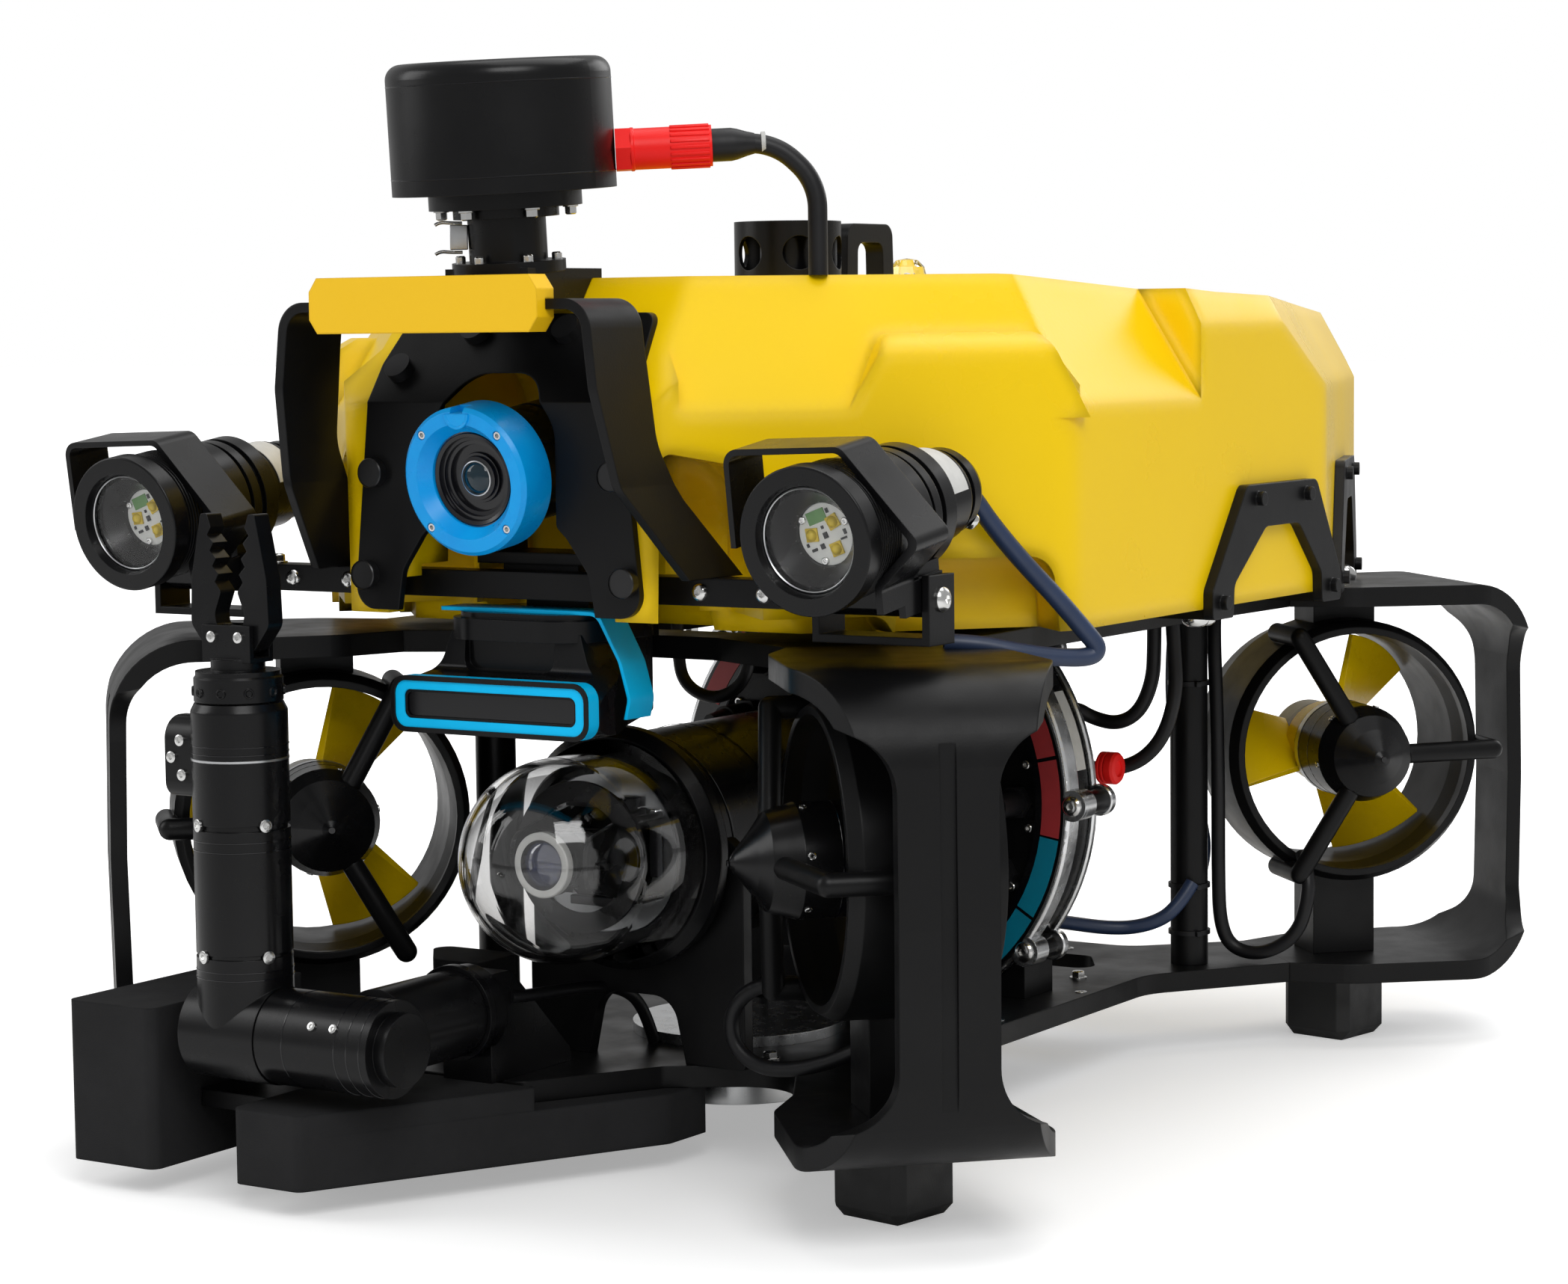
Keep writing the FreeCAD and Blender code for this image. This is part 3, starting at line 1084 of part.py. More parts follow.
# ------------------------------------------------------------------------------------------ manipulator
def arm():
    bx, bz = S.base_axis_x, S.base_axis_z
    radius = number(S.arm_radius)
    ay, az, ax = -S.arm_y, S.arm_joint_z, S.arm_x
    wedge = plate("arm_wedge", "YZ", bx - 16, bx + 16, [
        (-322, PLATE_TOP), (-250, PLATE_TOP), (-252, PLATE_TOP + 8, 3), (-304, bz + 20, 8), (-322, bz + 20, 4),
    ])
    motor = cylinder("arm_base_motor", 24, 14, (bx, -332, bz), (0, 1, 0))
    flange = cylinder("arm_base_flange", 25.5, 5, (bx, -334, bz), (0, 1, 0))
    node("arm_base", fuse("arm_base_body", wedge, motor, flange))

    swivel = cylinder("swing_hub", 23, 62, (bx, -334.5, bz), (0, -1, 0))
    tube_start = ax + radius + 0.5
    shoulder_tube = cylinder("swing_tube", radius, 73, (tube_start, ay, az), (1, 0, 0))
    end_cap = cylinder("swing_end_cap", radius - 6, 7, (tube_start + 73, ay, az), (1, 0, 0))
    node("arm_swing", fuse("arm_swing_body", swivel, shoulder_tube, end_cap))

    knuckle = cylinder("forearm_knuckle", radius + 0.6, 2 * radius, (ax - radius, ay, az), (1, 0, 0))
    top = S.wrist_z
    tube = turned("forearm_turned", [
        (0, 0), (radius, 0), (radius, 41), (radius - 1, 41), (radius - 1, 43), (radius, 43), (radius, 107),
        (radius - 1.5, 107), (radius - 1.5, 110), (radius, 110), (radius, 168, 3), (radius - 2, 172), (0, 172),
    ])
    tube = moved("forearm_tube", tube, (ax, ay, az), Rotation(Vector(1, 0, 0), 90))
    pod_box = plate("forearm_pod", "YZ", ax - radius - 14, ax, [
        (ay - 14, 210, 8), (ay - 14, 252, 12), (ay + 14, 252, 12), (ay + 14, 210, 8),
    ])
    node("arm_forearm", fuse("forearm_body", tube, knuckle, pod_box))
    wrist = fuse(
        "wrist_fuse", cylinder("wrist_ring", 22, 16, (ax, ay, 260.5)),
        cylinder("wrist_neck", 14, 6, (ax, ay, 276.5)),
        box("wrist_block", (ax - 16, ay - 9, 281), (ax + 16, ay + 9, 283.5)),
    )
    ears = [
        box(f"wrist_ear{i}", (ax - 16, ay + y, 283), (ax + 16, ay + y + 3, 300)) for i, y in enumerate((-9, 6))
    ]
    pins = [cylinder(f"wrist_pin{i}", 2.5, 18, (ax + x, ay - 9, 294), (0, 1, 0)) for i, x in enumerate((-9, 9))]
    node("arm_wrist", fuse("wrist_body", wrist, *ears, *pins))
    for name, side in (("jaw_inner", 1), ("jaw_outer", -1)):
        outline = [
            (3, 286, 2), (15, 286, 5), (26, 300, 8), (25, 324, 20), (18, 357, 1.5), (14, 357, 1.5),
            (11.5, 350), (14, 346), (10, 342), (12.5, 338), (8.5, 334), (11, 330), (7, 326), (9.5, 322),
            (5.5, 317, 2), (10, 306, 6), (9, 300, 2), (2, 298, 2),
        ]
        if side < 0:
            outline = [(-p[0], *p[1:]) for p in reversed(outline)]
        outline = [(ax + p[0], *p[1:]) for p in outline]
        finger = plate(name + "_outline", "XZ", ay - 5.6, ay + 5.6, outline)
        hole = cylinder(name + "_hole", 2.6, 30, (ax + 9 * side, ay - 15, 294), (0, 1, 0))
        node(name, cut(name + "_body", finger, hole))


# ------------------------------------------------------------------------------------------ lower plate fittings
def lower_fittings():
    right = plate("foam_right_low", "XY", 15, S.plate_low, [
        (-110, -436, 6), (-66, -436, 6), (35, -251, 10), (36, -215, 4), (-110, -215, 4),
    ])
    lip = plate("foam_right_lip", "XY", S.plate_low, PLATE_TOP, [
        (-110, -436, 6), (-66, -436, 6), (-2, -318, 2), (-110, -318, 2),
    ])
    left = plate("foam_left_outline", "XY", 15, 100, [
        (-223, -435, 6), (-164, -435, 6), (-164, -312, 4), (-223, -312, 4),
    ])
    corner = (-S.thruster_x, -S.thruster_y, 0)
    diagonal = Rotation(Vector(0, 0, 1), -135)
    guard_room = moved("guard_room", box("guard_room_box", (-60, -68, 41.5), (118, 68, 70)), corner, diagonal)
    left = cut("foam_left", left, guard_room)
    shelf = plate("foam_shelf", "XY", PLATE_TOP, 100, [
        (-158, -205, 8), (-96, -205, 8), (-96, -244, 8), (-128, -244, 8),
    ])
    node("foam_blocks", group("foam_group", fuse("foam_right", right, lip), left, shelf))
    bridge = plate("skid_bridge", "XY", S.plate_low + 1, PLATE_TOP - 2, [
        (-164, -400, 4), (-110, -400, 4), (-110, -320), (-136, -320), (-164, -352),
    ])
    node("foam_bracket", bridge)
    x, y = 0, -S.dvl_y
    dvl = fuse("dvl_body", cylinder("dvl_flange", S.dvl_radius + 10, 6, (x, y, PLATE_TOP)),
               cylinder("dvl_barrel", S.dvl_radius - 1, 34, (x, y, PLATE_TOP - 34)))
    eyes = []
    for i in range(4):
        turn = math.radians(45 + 90 * i)
        at = (26 * math.cos(turn), number(y) + 26 * math.sin(turn), PLATE_TOP - 35)
        eyes.append(cylinder(f"dvl_eye{i}", 15, 4, at))
    node("velocity_log", cut("dvl_cut", dvl, *eyes))


def finish():
    """Check every object and write each sub-part."""
    doc.recompute()
    wrong = [item.Label for item in doc.Objects if "Invalid" in item.State or "Error" in item.State]
    if wrong:
        raise ValueError(f"not built: {wrong}")
    os.makedirs("parts", exist_ok=True)
    for label, item in NODES.items():
        shape = item.Shape
        if shape.isNull() or not shape.isValid():
            raise ValueError(f"{label}: the shape is null or not valid")
        shape.exportStep(f"parts/{label}.step")
        low, high = shape.BoundBox, shape.Volume
        print(f"{label}: {len(shape.Solids)} solids, {high / 1000:.1f} cm3, z {low.ZMin:.1f} to {low.ZMax:.1f}")


motor_list = corner_thrusters() + lift_thrusters()
node("thruster_motors", group("motor_group", *motor_list))
plates()
guards_and_feet()
float_block()
float_brackets()
pod()
dome_module()
connectors()
nose_camera()
sonar()
mask()
hoop()
for lamp_side, lamp_sign in SIDES.items():
    lamp(lamp_side, lamp_sign)
lamp_bar()
mast()
top_fittings()
arm()
lower_fittings()
finish()
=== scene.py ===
"""Looks for the underwater inspection ROV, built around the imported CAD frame. Metres, row frame."""

import json
import math

import bmesh
import bpy
from mathutils import Matrix, Vector

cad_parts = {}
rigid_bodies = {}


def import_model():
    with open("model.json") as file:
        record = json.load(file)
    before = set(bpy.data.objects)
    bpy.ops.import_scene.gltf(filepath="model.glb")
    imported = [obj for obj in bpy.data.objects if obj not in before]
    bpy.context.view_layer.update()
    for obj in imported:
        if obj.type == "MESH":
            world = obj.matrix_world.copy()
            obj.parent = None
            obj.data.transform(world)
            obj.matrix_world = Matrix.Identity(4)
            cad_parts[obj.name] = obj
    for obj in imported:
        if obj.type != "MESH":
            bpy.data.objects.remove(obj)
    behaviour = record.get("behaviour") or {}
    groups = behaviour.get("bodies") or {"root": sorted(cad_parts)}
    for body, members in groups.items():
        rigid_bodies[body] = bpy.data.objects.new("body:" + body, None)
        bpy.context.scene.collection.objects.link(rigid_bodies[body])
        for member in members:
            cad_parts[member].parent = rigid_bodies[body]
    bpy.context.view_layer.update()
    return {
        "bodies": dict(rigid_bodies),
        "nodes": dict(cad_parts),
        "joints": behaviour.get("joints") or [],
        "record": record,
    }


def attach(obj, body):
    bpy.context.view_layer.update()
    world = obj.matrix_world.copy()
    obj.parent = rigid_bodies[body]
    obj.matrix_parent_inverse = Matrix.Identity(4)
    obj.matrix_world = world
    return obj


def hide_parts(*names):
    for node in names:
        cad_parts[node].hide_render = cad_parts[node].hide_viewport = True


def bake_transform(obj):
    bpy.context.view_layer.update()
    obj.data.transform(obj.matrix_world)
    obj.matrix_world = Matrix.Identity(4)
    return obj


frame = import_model()
NODES = frame["nodes"]
SHIFT = 0.0255  # from the vehicle's own origin to the row frame's, along y, in metres
MM = 0.001
CENTRE = 0.01  # a profile's radius on its axis, small enough to look closed


# ---------------------------------------------------------------------- camera, light, floor
VIEW_AZIMUTH, VIEW_PITCH, VIEW_ROLL = 32.59, -5.02, -0.69
VIEW_PLACE = (1.12457, -1.83621 + SHIFT, 0.45207)
VIEW_LENS = 84.02
WORLD_FILL = 0.42
FLOOR_HALF = 30
FLOOR_NEAR, FLOOR_FAR = 0.35, 1.6  # where the floor begins and ends its fade to white, in metres
FLOOR_LIFT_NEAR, FLOOR_LIFT_FAR = 0.36, 1.0  # the emission that the camera sees at those two places


def camera():
    """The photograph's view: a long lens, low and slightly rolled, from the port bow."""
    az, pitch, roll = map(math.radians, (VIEW_AZIMUTH, VIEW_PITCH, VIEW_ROLL))
    d = Vector((-math.sin(az) * math.cos(pitch), math.cos(az) * math.cos(pitch), math.sin(pitch)))
    r = Vector((math.cos(az), math.sin(az), 0))
    u = r.cross(d)
    right = r * math.cos(roll) + u * math.sin(roll)
    up = u * math.cos(roll) - r * math.sin(roll)
    data = bpy.data.cameras.new("view")
    data.sensor_width = 36
    data.lens = VIEW_LENS
    data.clip_start = 0.05
    item = bpy.data.objects.new("view", data)
    item.matrix_world = Matrix((
        (right.x, up.x, -d.x, VIEW_PLACE[0]),
        (right.y, up.y, -d.y, VIEW_PLACE[1]),
        (right.z, up.z, -d.z, VIEW_PLACE[2]),
        (0, 0, 0, 1),
    ))
    bpy.context.scene.collection.objects.link(item)
    bpy.context.scene.camera = item


def lamp_panel(name, place, aim, width, height, power):
    """A rectangular area light that faces a point."""
    data = bpy.data.lights.new(name, "AREA")
    data.shape = "RECTANGLE"
    data.size = width
    data.size_y = height
    data.energy = power
    item = bpy.data.objects.new(name, data)
    item.location = place
    item.rotation_euler = (Vector(aim) - Vector(place)).to_track_quat("-Z", "Y").to_euler()
    bpy.context.scene.collection.objects.link(item)


def studio():
    """A white surround, four soft lights and a pale floor that keeps the shadow."""
    world = bpy.data.worlds.new("studio")
    bpy.context.scene.world = world
    world.use_nodes = True
    tree = world.node_tree
    tree.nodes.clear()
    out = tree.nodes.new("ShaderNodeOutputWorld")
    fill = tree.nodes.new("ShaderNodeBackground")
    fill.inputs["Color"].default_value = (1, 1, 1, 1)
    fill.inputs["Strength"].default_value = WORLD_FILL
    seen = tree.nodes.new("ShaderNodeBackground")
    seen.inputs["Color"].default_value = (1, 1, 1, 1)
    seen.inputs["Strength"].default_value = 1.0
    path = tree.nodes.new("ShaderNodeLightPath")
    either = tree.nodes.new("ShaderNodeMath")
    either.operation = "MAXIMUM"
    mix = tree.nodes.new("ShaderNodeMixShader")
    tree.links.new(path.outputs["Is Camera Ray"], either.inputs[0])
    tree.links.new(path.outputs["Is Transmission Ray"], either.inputs[1])
    tree.links.new(either.outputs[0], mix.inputs[0])
    tree.links.new(fill.outputs[0], mix.inputs[1])
    tree.links.new(seen.outputs[0], mix.inputs[2])
    tree.links.new(mix.outputs[0], out.inputs[0])
    lamp_panel("key", (1.6, -1.7, 2.0), (0, -0.1, 0.3), 1.6, 1.2, 34)
    lamp_panel("side", (-2.0, -1.3, 1.3), (0, 0, 0.3), 1.2, 1.4, 15)
    lamp_panel("top", (0.2, 0.3, 2.4), (0, 0, 0.3), 2.0, 2.0, 24)
    lamp_panel("back", (0.4, 2.2, 1.4), (0, 0, 0.3), 1.6, 1.2, 12)

    mesh = bpy.data.meshes.new("floor")
    corners = [(x * FLOOR_HALF, y * FLOOR_HALF, 0) for x, y in ((-1, -1), (1, -1), (1, 1), (-1, 1))]
    mesh.from_pydata(corners, [], [(0, 1, 2, 3)])
    floor = bpy.data.objects.new("floor", mesh)
    bpy.context.scene.collection.objects.link(floor)
    material = bpy.data.materials.new("floor_paper")
    material.use_nodes = True
    tree = material.node_tree
    shader = tree.nodes["Principled BSDF"]
    shader.inputs["Base Color"].default_value = (0.86, 0.86, 0.86, 1)
    shader.inputs["Roughness"].default_value = 0.8
    shader.inputs["Emission Color"].default_value = (1, 1, 1, 1)
    path = tree.nodes.new("ShaderNodeLightPath")
    place = tree.nodes.new("ShaderNodeTexCoord")
    reach = tree.nodes.new("ShaderNodeVectorMath")
    reach.operation = "LENGTH"
    fade = tree.nodes.new("ShaderNodeMapRange")
    fade.inputs["From Min"].default_value = FLOOR_NEAR
    fade.inputs["From Max"].default_value = FLOOR_FAR
    fade.inputs["To Min"].default_value = FLOOR_LIFT_NEAR
    fade.inputs["To Max"].default_value = FLOOR_LIFT_FAR
    lift = tree.nodes.new("ShaderNodeMath")
    lift.operation = "MULTIPLY"
    tree.links.new(place.outputs["Object"], reach.inputs[0])
    tree.links.new(reach.outputs["Value"], fade.inputs["Value"])
    tree.links.new(path.outputs["Is Camera Ray"], lift.inputs[0])
    tree.links.new(fade.outputs[0], lift.inputs[1])
    tree.links.new(lift.outputs[0], shader.inputs["Emission Strength"])
    mesh.materials.append(material)
    bpy.context.scene.view_settings.view_transform = "Standard"


# ---------------------------------------------------------------------- materials
class Finish:
    """A Principled material with a few procedural layers."""

    def __init__(self, name, color, rough=0.5, metal=0.0, **shader):
        self.material = bpy.data.materials.new(name)
        self.material.use_nodes = True
        self.tree = self.material.node_tree
        self.shader = self.tree.nodes["Principled BSDF"]
        self.color = (*color, 1)
        self.shader.inputs["Base Color"].default_value = self.color
        self.shader.inputs["Roughness"].default_value = rough
        self.shader.inputs["Metallic"].default_value = metal
        self.rough = rough
        self.normal = None
        self.coords = self.tree.nodes.new("ShaderNodeTexCoord").outputs["Object"]
        for key, value in shader.items():
            self.shader.inputs[key.replace("_", " ")].default_value = value

    def new(self, kind, **inputs):
        node = self.tree.nodes.new(kind)
        for key, value in inputs.items():
            node.inputs[key.replace("_", " ")].default_value = value
        return node

    def link(self, a, b):
        self.tree.links.new(a, b)

    def noise(self, scale, detail=4.0, rough=0.55, stretch=None):
        """Noise in object space, from 0 to 1."""
        node = self.new("ShaderNodeTexNoise", Scale=scale, Detail=detail, Roughness=rough)
        source = self.coords
        if stretch:
            mapping = self.new("ShaderNodeMapping")
            mapping.inputs["Scale"].default_value = stretch
            self.link(source, mapping.inputs["Vector"])
            source = mapping.outputs[0]
        self.link(source, node.inputs["Vector"])
        return node.outputs["Fac"]

    def ramp(self, source, low, high, start=0.3, end=0.7):
        """Spread a noise's middle range over low to high."""
        node = self.new("ShaderNodeMapRange")
        node.inputs["From Min"].default_value = start
        node.inputs["From Max"].default_value = end
        node.inputs["To Min"].default_value = low
        node.inputs["To Max"].default_value = high
        self.link(source, node.inputs["Value"])
        return node.outputs[0]

    def vary_rough(self, scale, amount, detail=5.0):
        self.link(self.ramp(self.noise(scale, detail), self.rough - amount, self.rough + amount),
                  self.shader.inputs["Roughness"])
        return self

    def vary_color(self, scale, other, share=0.5, detail=4.0):
        mix = self.new("ShaderNodeMix")
        mix.data_type = "RGBA"
        mix.inputs[6].default_value = self.color
        mix.inputs[7].default_value = (*other, 1)
        self.link(self.ramp(self.noise(scale, detail), 0, share), mix.inputs[0])
        self.link(mix.outputs[2], self.shader.inputs["Base Color"])
        return self

    def bump(self, height, strength, distance):
        node = self.new("ShaderNodeBump", Strength=strength, Distance=distance)
        self.link(height, node.inputs["Height"])
        if self.normal:
            self.link(self.normal, node.inputs["Normal"])
        self.normal = node.outputs[0]
        self.link(self.normal, self.shader.inputs["Normal"])
        return self

    def soft_edges(self, radius):
        """Shade the edges as if rounded, by a radius in metres. It comes before any bump."""
        node = self.new("ShaderNodeBevel", Radius=radius)
        node.samples = 4
        self.normal = node.outputs[0]
        self.link(self.normal, self.shader.inputs["Normal"])
        return self

    def done(self):
        return self.material


def make_finishes():
    """Every material, by its short name."""
    f = {}
    item = Finish("float_yellow", (0.93, 0.62, 0.0), 0.3, Specular_IOR_Level=0.32)
    item.soft_edges(0.014).vary_rough(9, 0.06).vary_color(6, (0.90, 0.58, 0.0), 0.6)
    item.bump(item.noise(420, 3), 0.12, 0.0005)
    f["float"] = item.done()
    item = Finish("bumper_yellow", (0.90, 0.54, 0.006), 0.5, Specular_IOR_Level=0.3)
    item.soft_edges(0.0015).vary_rough(40, 0.08).bump(item.noise(700, 3), 0.15, 0.0004)
    f["bumper"] = item.done()
    item = Finish("black_composite", (0.0042, 0.0042, 0.0045), 0.36, Specular_IOR_Level=0.2)
    item.soft_edges(0.0012).vary_rough(30, 0.08).bump(item.noise(900, 4), 0.14, 0.0003)
    f["composite"] = item.done()
    item = Finish("black_anodised", (0.0034, 0.0034, 0.0038), 0.27, Specular_IOR_Level=0.26)
    item.soft_edges(0.0006).vary_rough(24, 0.06).bump(item.noise(1600, 2), 0.06, 0.0002)
    f["anodised"] = item.done()
    item = Finish("black_rubber", (0.014, 0.014, 0.014), 0.55, Specular_IOR_Level=0.4)
    item.soft_edges(0.0015).vary_rough(60, 0.1).bump(item.noise(1200, 3), 0.2, 0.0003)
    f["rubber"] = item.done()
    item = Finish("cable_jacket", (0.007, 0.007, 0.008), 0.42, Specular_IOR_Level=0.3)
    item.vary_rough(80, 0.08).bump(item.noise(1500, 2), 0.12, 0.0002)
    f["cable"] = item.done()
    item = Finish("dense_foam", (0.013, 0.013, 0.0135), 0.85, Specular_IOR_Level=0.2)
    item.soft_edges(0.003).vary_color(14, (0.019, 0.019, 0.02), 0.9).vary_rough(50, 0.06)
    item.bump(item.noise(1400, 4), 0.35, 0.0005)
    f["foam"] = item.done()
    item = Finish("machined_aluminium", (0.78, 0.79, 0.80), 0.24, 1.0)
    item.soft_edges(0.0005).vary_rough(120, 0.07).bump(item.noise(300, 2, stretch=(1, 12, 1)), 0.05, 0.0002)
    f["aluminium"] = item.done()
    item = Finish("bright_steel", (0.72, 0.72, 0.71), 0.2, 1.0)
    item.soft_edges(0.0003).vary_rough(200, 0.06)
    f["steel"] = item.done()
    item = Finish("propeller_yellow", (0.93, 0.62, 0.0), 0.28, Specular_IOR_Level=0.4)
    item.soft_edges(0.001).vary_rough(40, 0.06).bump(item.noise(800, 2), 0.06, 0.0002)
    f["propeller"] = item.done()
    item = Finish("blue_anodised", (0.0, 0.31, 0.80), 0.3, Specular_IOR_Level=0.3)
    item.soft_edges(0.0006).vary_rough(60, 0.06).vary_color(50, (0.0, 0.42, 0.9), 0.5)
    f["blue"] = item.done()
    item = Finish("sonar_blue", (0.0, 0.56, 1.0), 0.4, Specular_IOR_Level=0.2)
    item.soft_edges(0.001).vary_rough(60, 0.06).vary_color(40, (0.0, 0.45, 0.88), 0.5)
    f["sonar_blue"] = item.done()
    item = Finish("red_sleeve", (0.86, 0.012, 0.010), 0.36, Specular_IOR_Level=0.22)
    item.soft_edges(0.0006).vary_rough(60, 0.06)
    f["red"] = item.done()
    item = Finish("board_white", (0.82, 0.83, 0.80), 0.45)
    item.vary_color(160, (0.70, 0.72, 0.68), 0.4).vary_rough(100, 0.05)
    f["board"] = item.done()
    item = Finish("clear_acrylic", (1, 1, 1), 0.02, Transmission_Weight=1.0, IOR=1.45)
    item.vary_rough(14, 0.008)
    f["clear"] = item.done()
    item = Finish("lamp_glass", (1, 1, 1), 0.01, Transmission_Weight=1.0, IOR=1.3)
    item.vary_rough(20, 0.004)
    f["glass"] = item.done()
    item = Finish("camera_glass", (0.02, 0.025, 0.06), 0.04, Coat_Weight=1.0)
    item.vary_rough(20, 0.01)
    f["lens"] = item.done()
    item = Finish("connector_rubber", (0.006, 0.006, 0.007), 0.45, Specular_IOR_Level=0.3)
    item.vary_rough(90, 0.08).bump(item.noise(1300, 3), 0.15, 0.0002)
    f["connector"] = item.done()
    plain = {  # name, colour, roughness, metal, scale of the mottling
        "navy": ("cable_navy", (0.018, 0.035, 0.085), 0.42, 0.0, 90),
        "grey": ("satin_grey", (0.36, 0.36, 0.38), 0.4, 0.3, 90),
        "white": ("label_white", (0.62, 0.62, 0.60), 0.5, 0.0, 120),
        "led": ("led_yellow", (0.80, 0.58, 0.02), 0.3, 0.0, 150),
        "green": ("thermal_green", (0.16, 0.36, 0.12), 0.5, 0.0, 150),
        "chip": ("chip_black", (0.02, 0.02, 0.024), 0.45, 0.0, 150),
        "band_red": ("sector_red", (0.42, 0.035, 0.04), 0.4, 0.0, 70),
        "silver": ("satin_silver", (0.62, 0.63, 0.64), 0.32, 1.0, 120),
        "band_teal": ("sector_teal", (0.0, 0.22, 0.34), 0.4, 0.0, 70),
        "band_blue": ("sector_blue", (0.0, 0.14, 0.42), 0.4, 0.0, 70),
        "window": ("window_black", (0.003, 0.003, 0.004), 0.12, 0.0, 30),
        "lens_ring": ("lens_ring", (0.006, 0.006, 0.008), 0.2, 0.0, 60),
        "nylon": ("pale_nylon", (0.5, 0.5, 0.48), 0.5, 0.0, 90),
        "pupil": ("coated_glass", (0.004, 0.02, 0.03), 0.05, 0.0, 20),
        "stud": ("dark_steel", (0.045, 0.045, 0.046), 0.36, 0.85, 120),
    }
    for key, (name, color, rough, metal, scale) in plain.items():
        item = Finish(name, color, rough, metal)
        darker = [0.82 * c for c in color]
        item.vary_rough(scale, 0.04).vary_color(scale, darker, 0.7)
        f[key] = item.done()
    return f


camera()
studio()
F = make_finishes()
LOOK = {
    "float": ["float_block"],
    "bumper": ["hoop_bumper"],
    "composite": ["upper_frame", "base_plate", "corner_guards", "frame_posts", "float_brackets", "mask_plate",
                  "front_hoop", "pod_stands", "lamp_bar", "foam_bracket", "camera_bracket", "lifting_handle",
                  "thruster_ducts", "lift_tunnels"],
    "anodised": ["pod_barrel", "pod_drum", "thruster_motors", "camera_housing", "arm_base", "arm_swing",
                 "arm_forearm", "arm_wrist", "mast_post", "lamp_port", "lamp_starboard", "sonar_body",
                 "sonar_mount", "dome_frame", "dome_camera", "beacon", "sonar_head", "jaw_inner",
                 "jaw_outer"],
    "aluminium": ["drum_clamp", "velocity_log"],
    "stud": ["mask_studs"],
    "rubber": ["rubber_feet"],
    "cable": ["mast_cable"],
    "foam": ["foam_blocks"],
    "blue": ["camera_bezel"],
    "sonar_blue": ["sonar_face", "sonar_band"],
    "red": ["mast_connector"],
    "board": ["lamp_port_board", "lamp_starboard_board"],
    "clear": ["dome", "strobe"],
    "glass": ["lamp_port_glass", "lamp_starboard_glass"],
    "lens": ["camera_lens"],
    "connector": ["connectors"],
    "propeller": [name for name in NODES if name.startswith("propeller_")],
}


def dress(node, finish):
    """Give a CAD node its material."""
    mesh = NODES[node].data
    for slot in range(max(1, len(mesh.materials))):
        if slot < len(mesh.materials):
            mesh.materials[slot] = F[finish]
        else:
            mesh.materials.append(F[finish])


for finish, names in LOOK.items():
    for name in names:
        dress(name, finish)


# ---------------------------------------------------------------------- piece builders
def at(x, y, z):
    """A vehicle point in millimetres, as a place in the row frame."""
    return Vector((x * MM, y * MM + SHIFT, z * MM))


def stand(x, y, z, turn=None):
    """A local frame in millimetres."""
    return Matrix.Translation(at(x, y, z)) @ (turn or Matrix.Identity(4)) @ Matrix.Scale(MM, 4)


def aim(x, y, z, direction, spin=0.0):
    """A local frame whose +Y points along a direction."""
    turn = Vector((0, 1, 0)).rotation_difference(Vector(direction)).to_matrix().to_4x4()
    return stand(x, y, z, turn @ Matrix.Rotation(spin, 4, "Y"))


def flat_sided(radius, angle, sides):
    """The radius of a regular polygon at an angle."""
    if not sides:
        return radius
    step = 2 * math.pi / sides
    return radius * math.cos(step / 2) / math.cos(angle % step - step / 2)


def lathe(bm, profile, matrix, segments=36, first=0.0, last=360.0):
    """Turn (radius, height) corners about local Y. A third number makes that ring a polygon."""
    closed = last - first >= 360
    count = segments if closed else segments + 1
    rings = []
    for radius, height, *sides in profile:
        ring = []
        for i in range(count):
            angle = math.radians(first + (last - first) * i / segments)
            reach = flat_sided(radius, angle, sides[0] if sides else 0)
            corner = Vector((reach * math.cos(angle), height, reach * math.sin(angle)))
            ring.append(bm.verts.new(matrix @ corner))
        rings.append(ring)
    for low, high in zip(rings, rings[1:]):
        for i in range(segments):
            j = (i + 1) % count
            bm.faces.new((low[i], low[j], high[j], high[i]))


def block(bm, matrix, size, centre=(0, 0, 0), bevel=0.0):
    """A box with softened edges."""
    shape = Matrix.Translation(Vector(centre)) @ Matrix.Diagonal((*size, 1))
    made = bmesh.ops.create_cube(bm, size=1.0, matrix=shape)
    if bevel:
        edges = list(dict.fromkeys(e for v in made["verts"] for e in v.link_edges))
        made = bmesh.ops.bevel(bm, geom=edges, offset=bevel, segments=3, affect="EDGES", profile=0.5)
    bmesh.ops.transform(bm, matrix=matrix, verts=made["verts"])


def outline_plate(bm, matrix, outer, thick, inner=None):
    """A plate or a frame between two loops of the same count, along local Y."""
    loops = []
    for height in (0.0, thick):
        loops.append([bm.verts.new(matrix @ Vector((x, height, z))) for x, z in outer])
        if inner:
            loops.append([bm.verts.new(matrix @ Vector((x, height, z))) for x, z in inner])
    count = len(outer)
    for i in range(count):
        j = (i + 1) % count
        if inner:
            low_out, low_in, high_out, high_in = loops
            for a, b in ((low_out, low_in), (high_out, high_in), (low_out, high_out), (low_in, high_in)):
                bm.faces.new((a[i], a[j], b[j], b[i]))
        else:
            bm.faces.new((loops[0][i], loops[0][j], loops[1][j], loops[1][i]))
    if not inner:
        bm.faces.new(loops[0])
        bm.faces.new(loops[1])


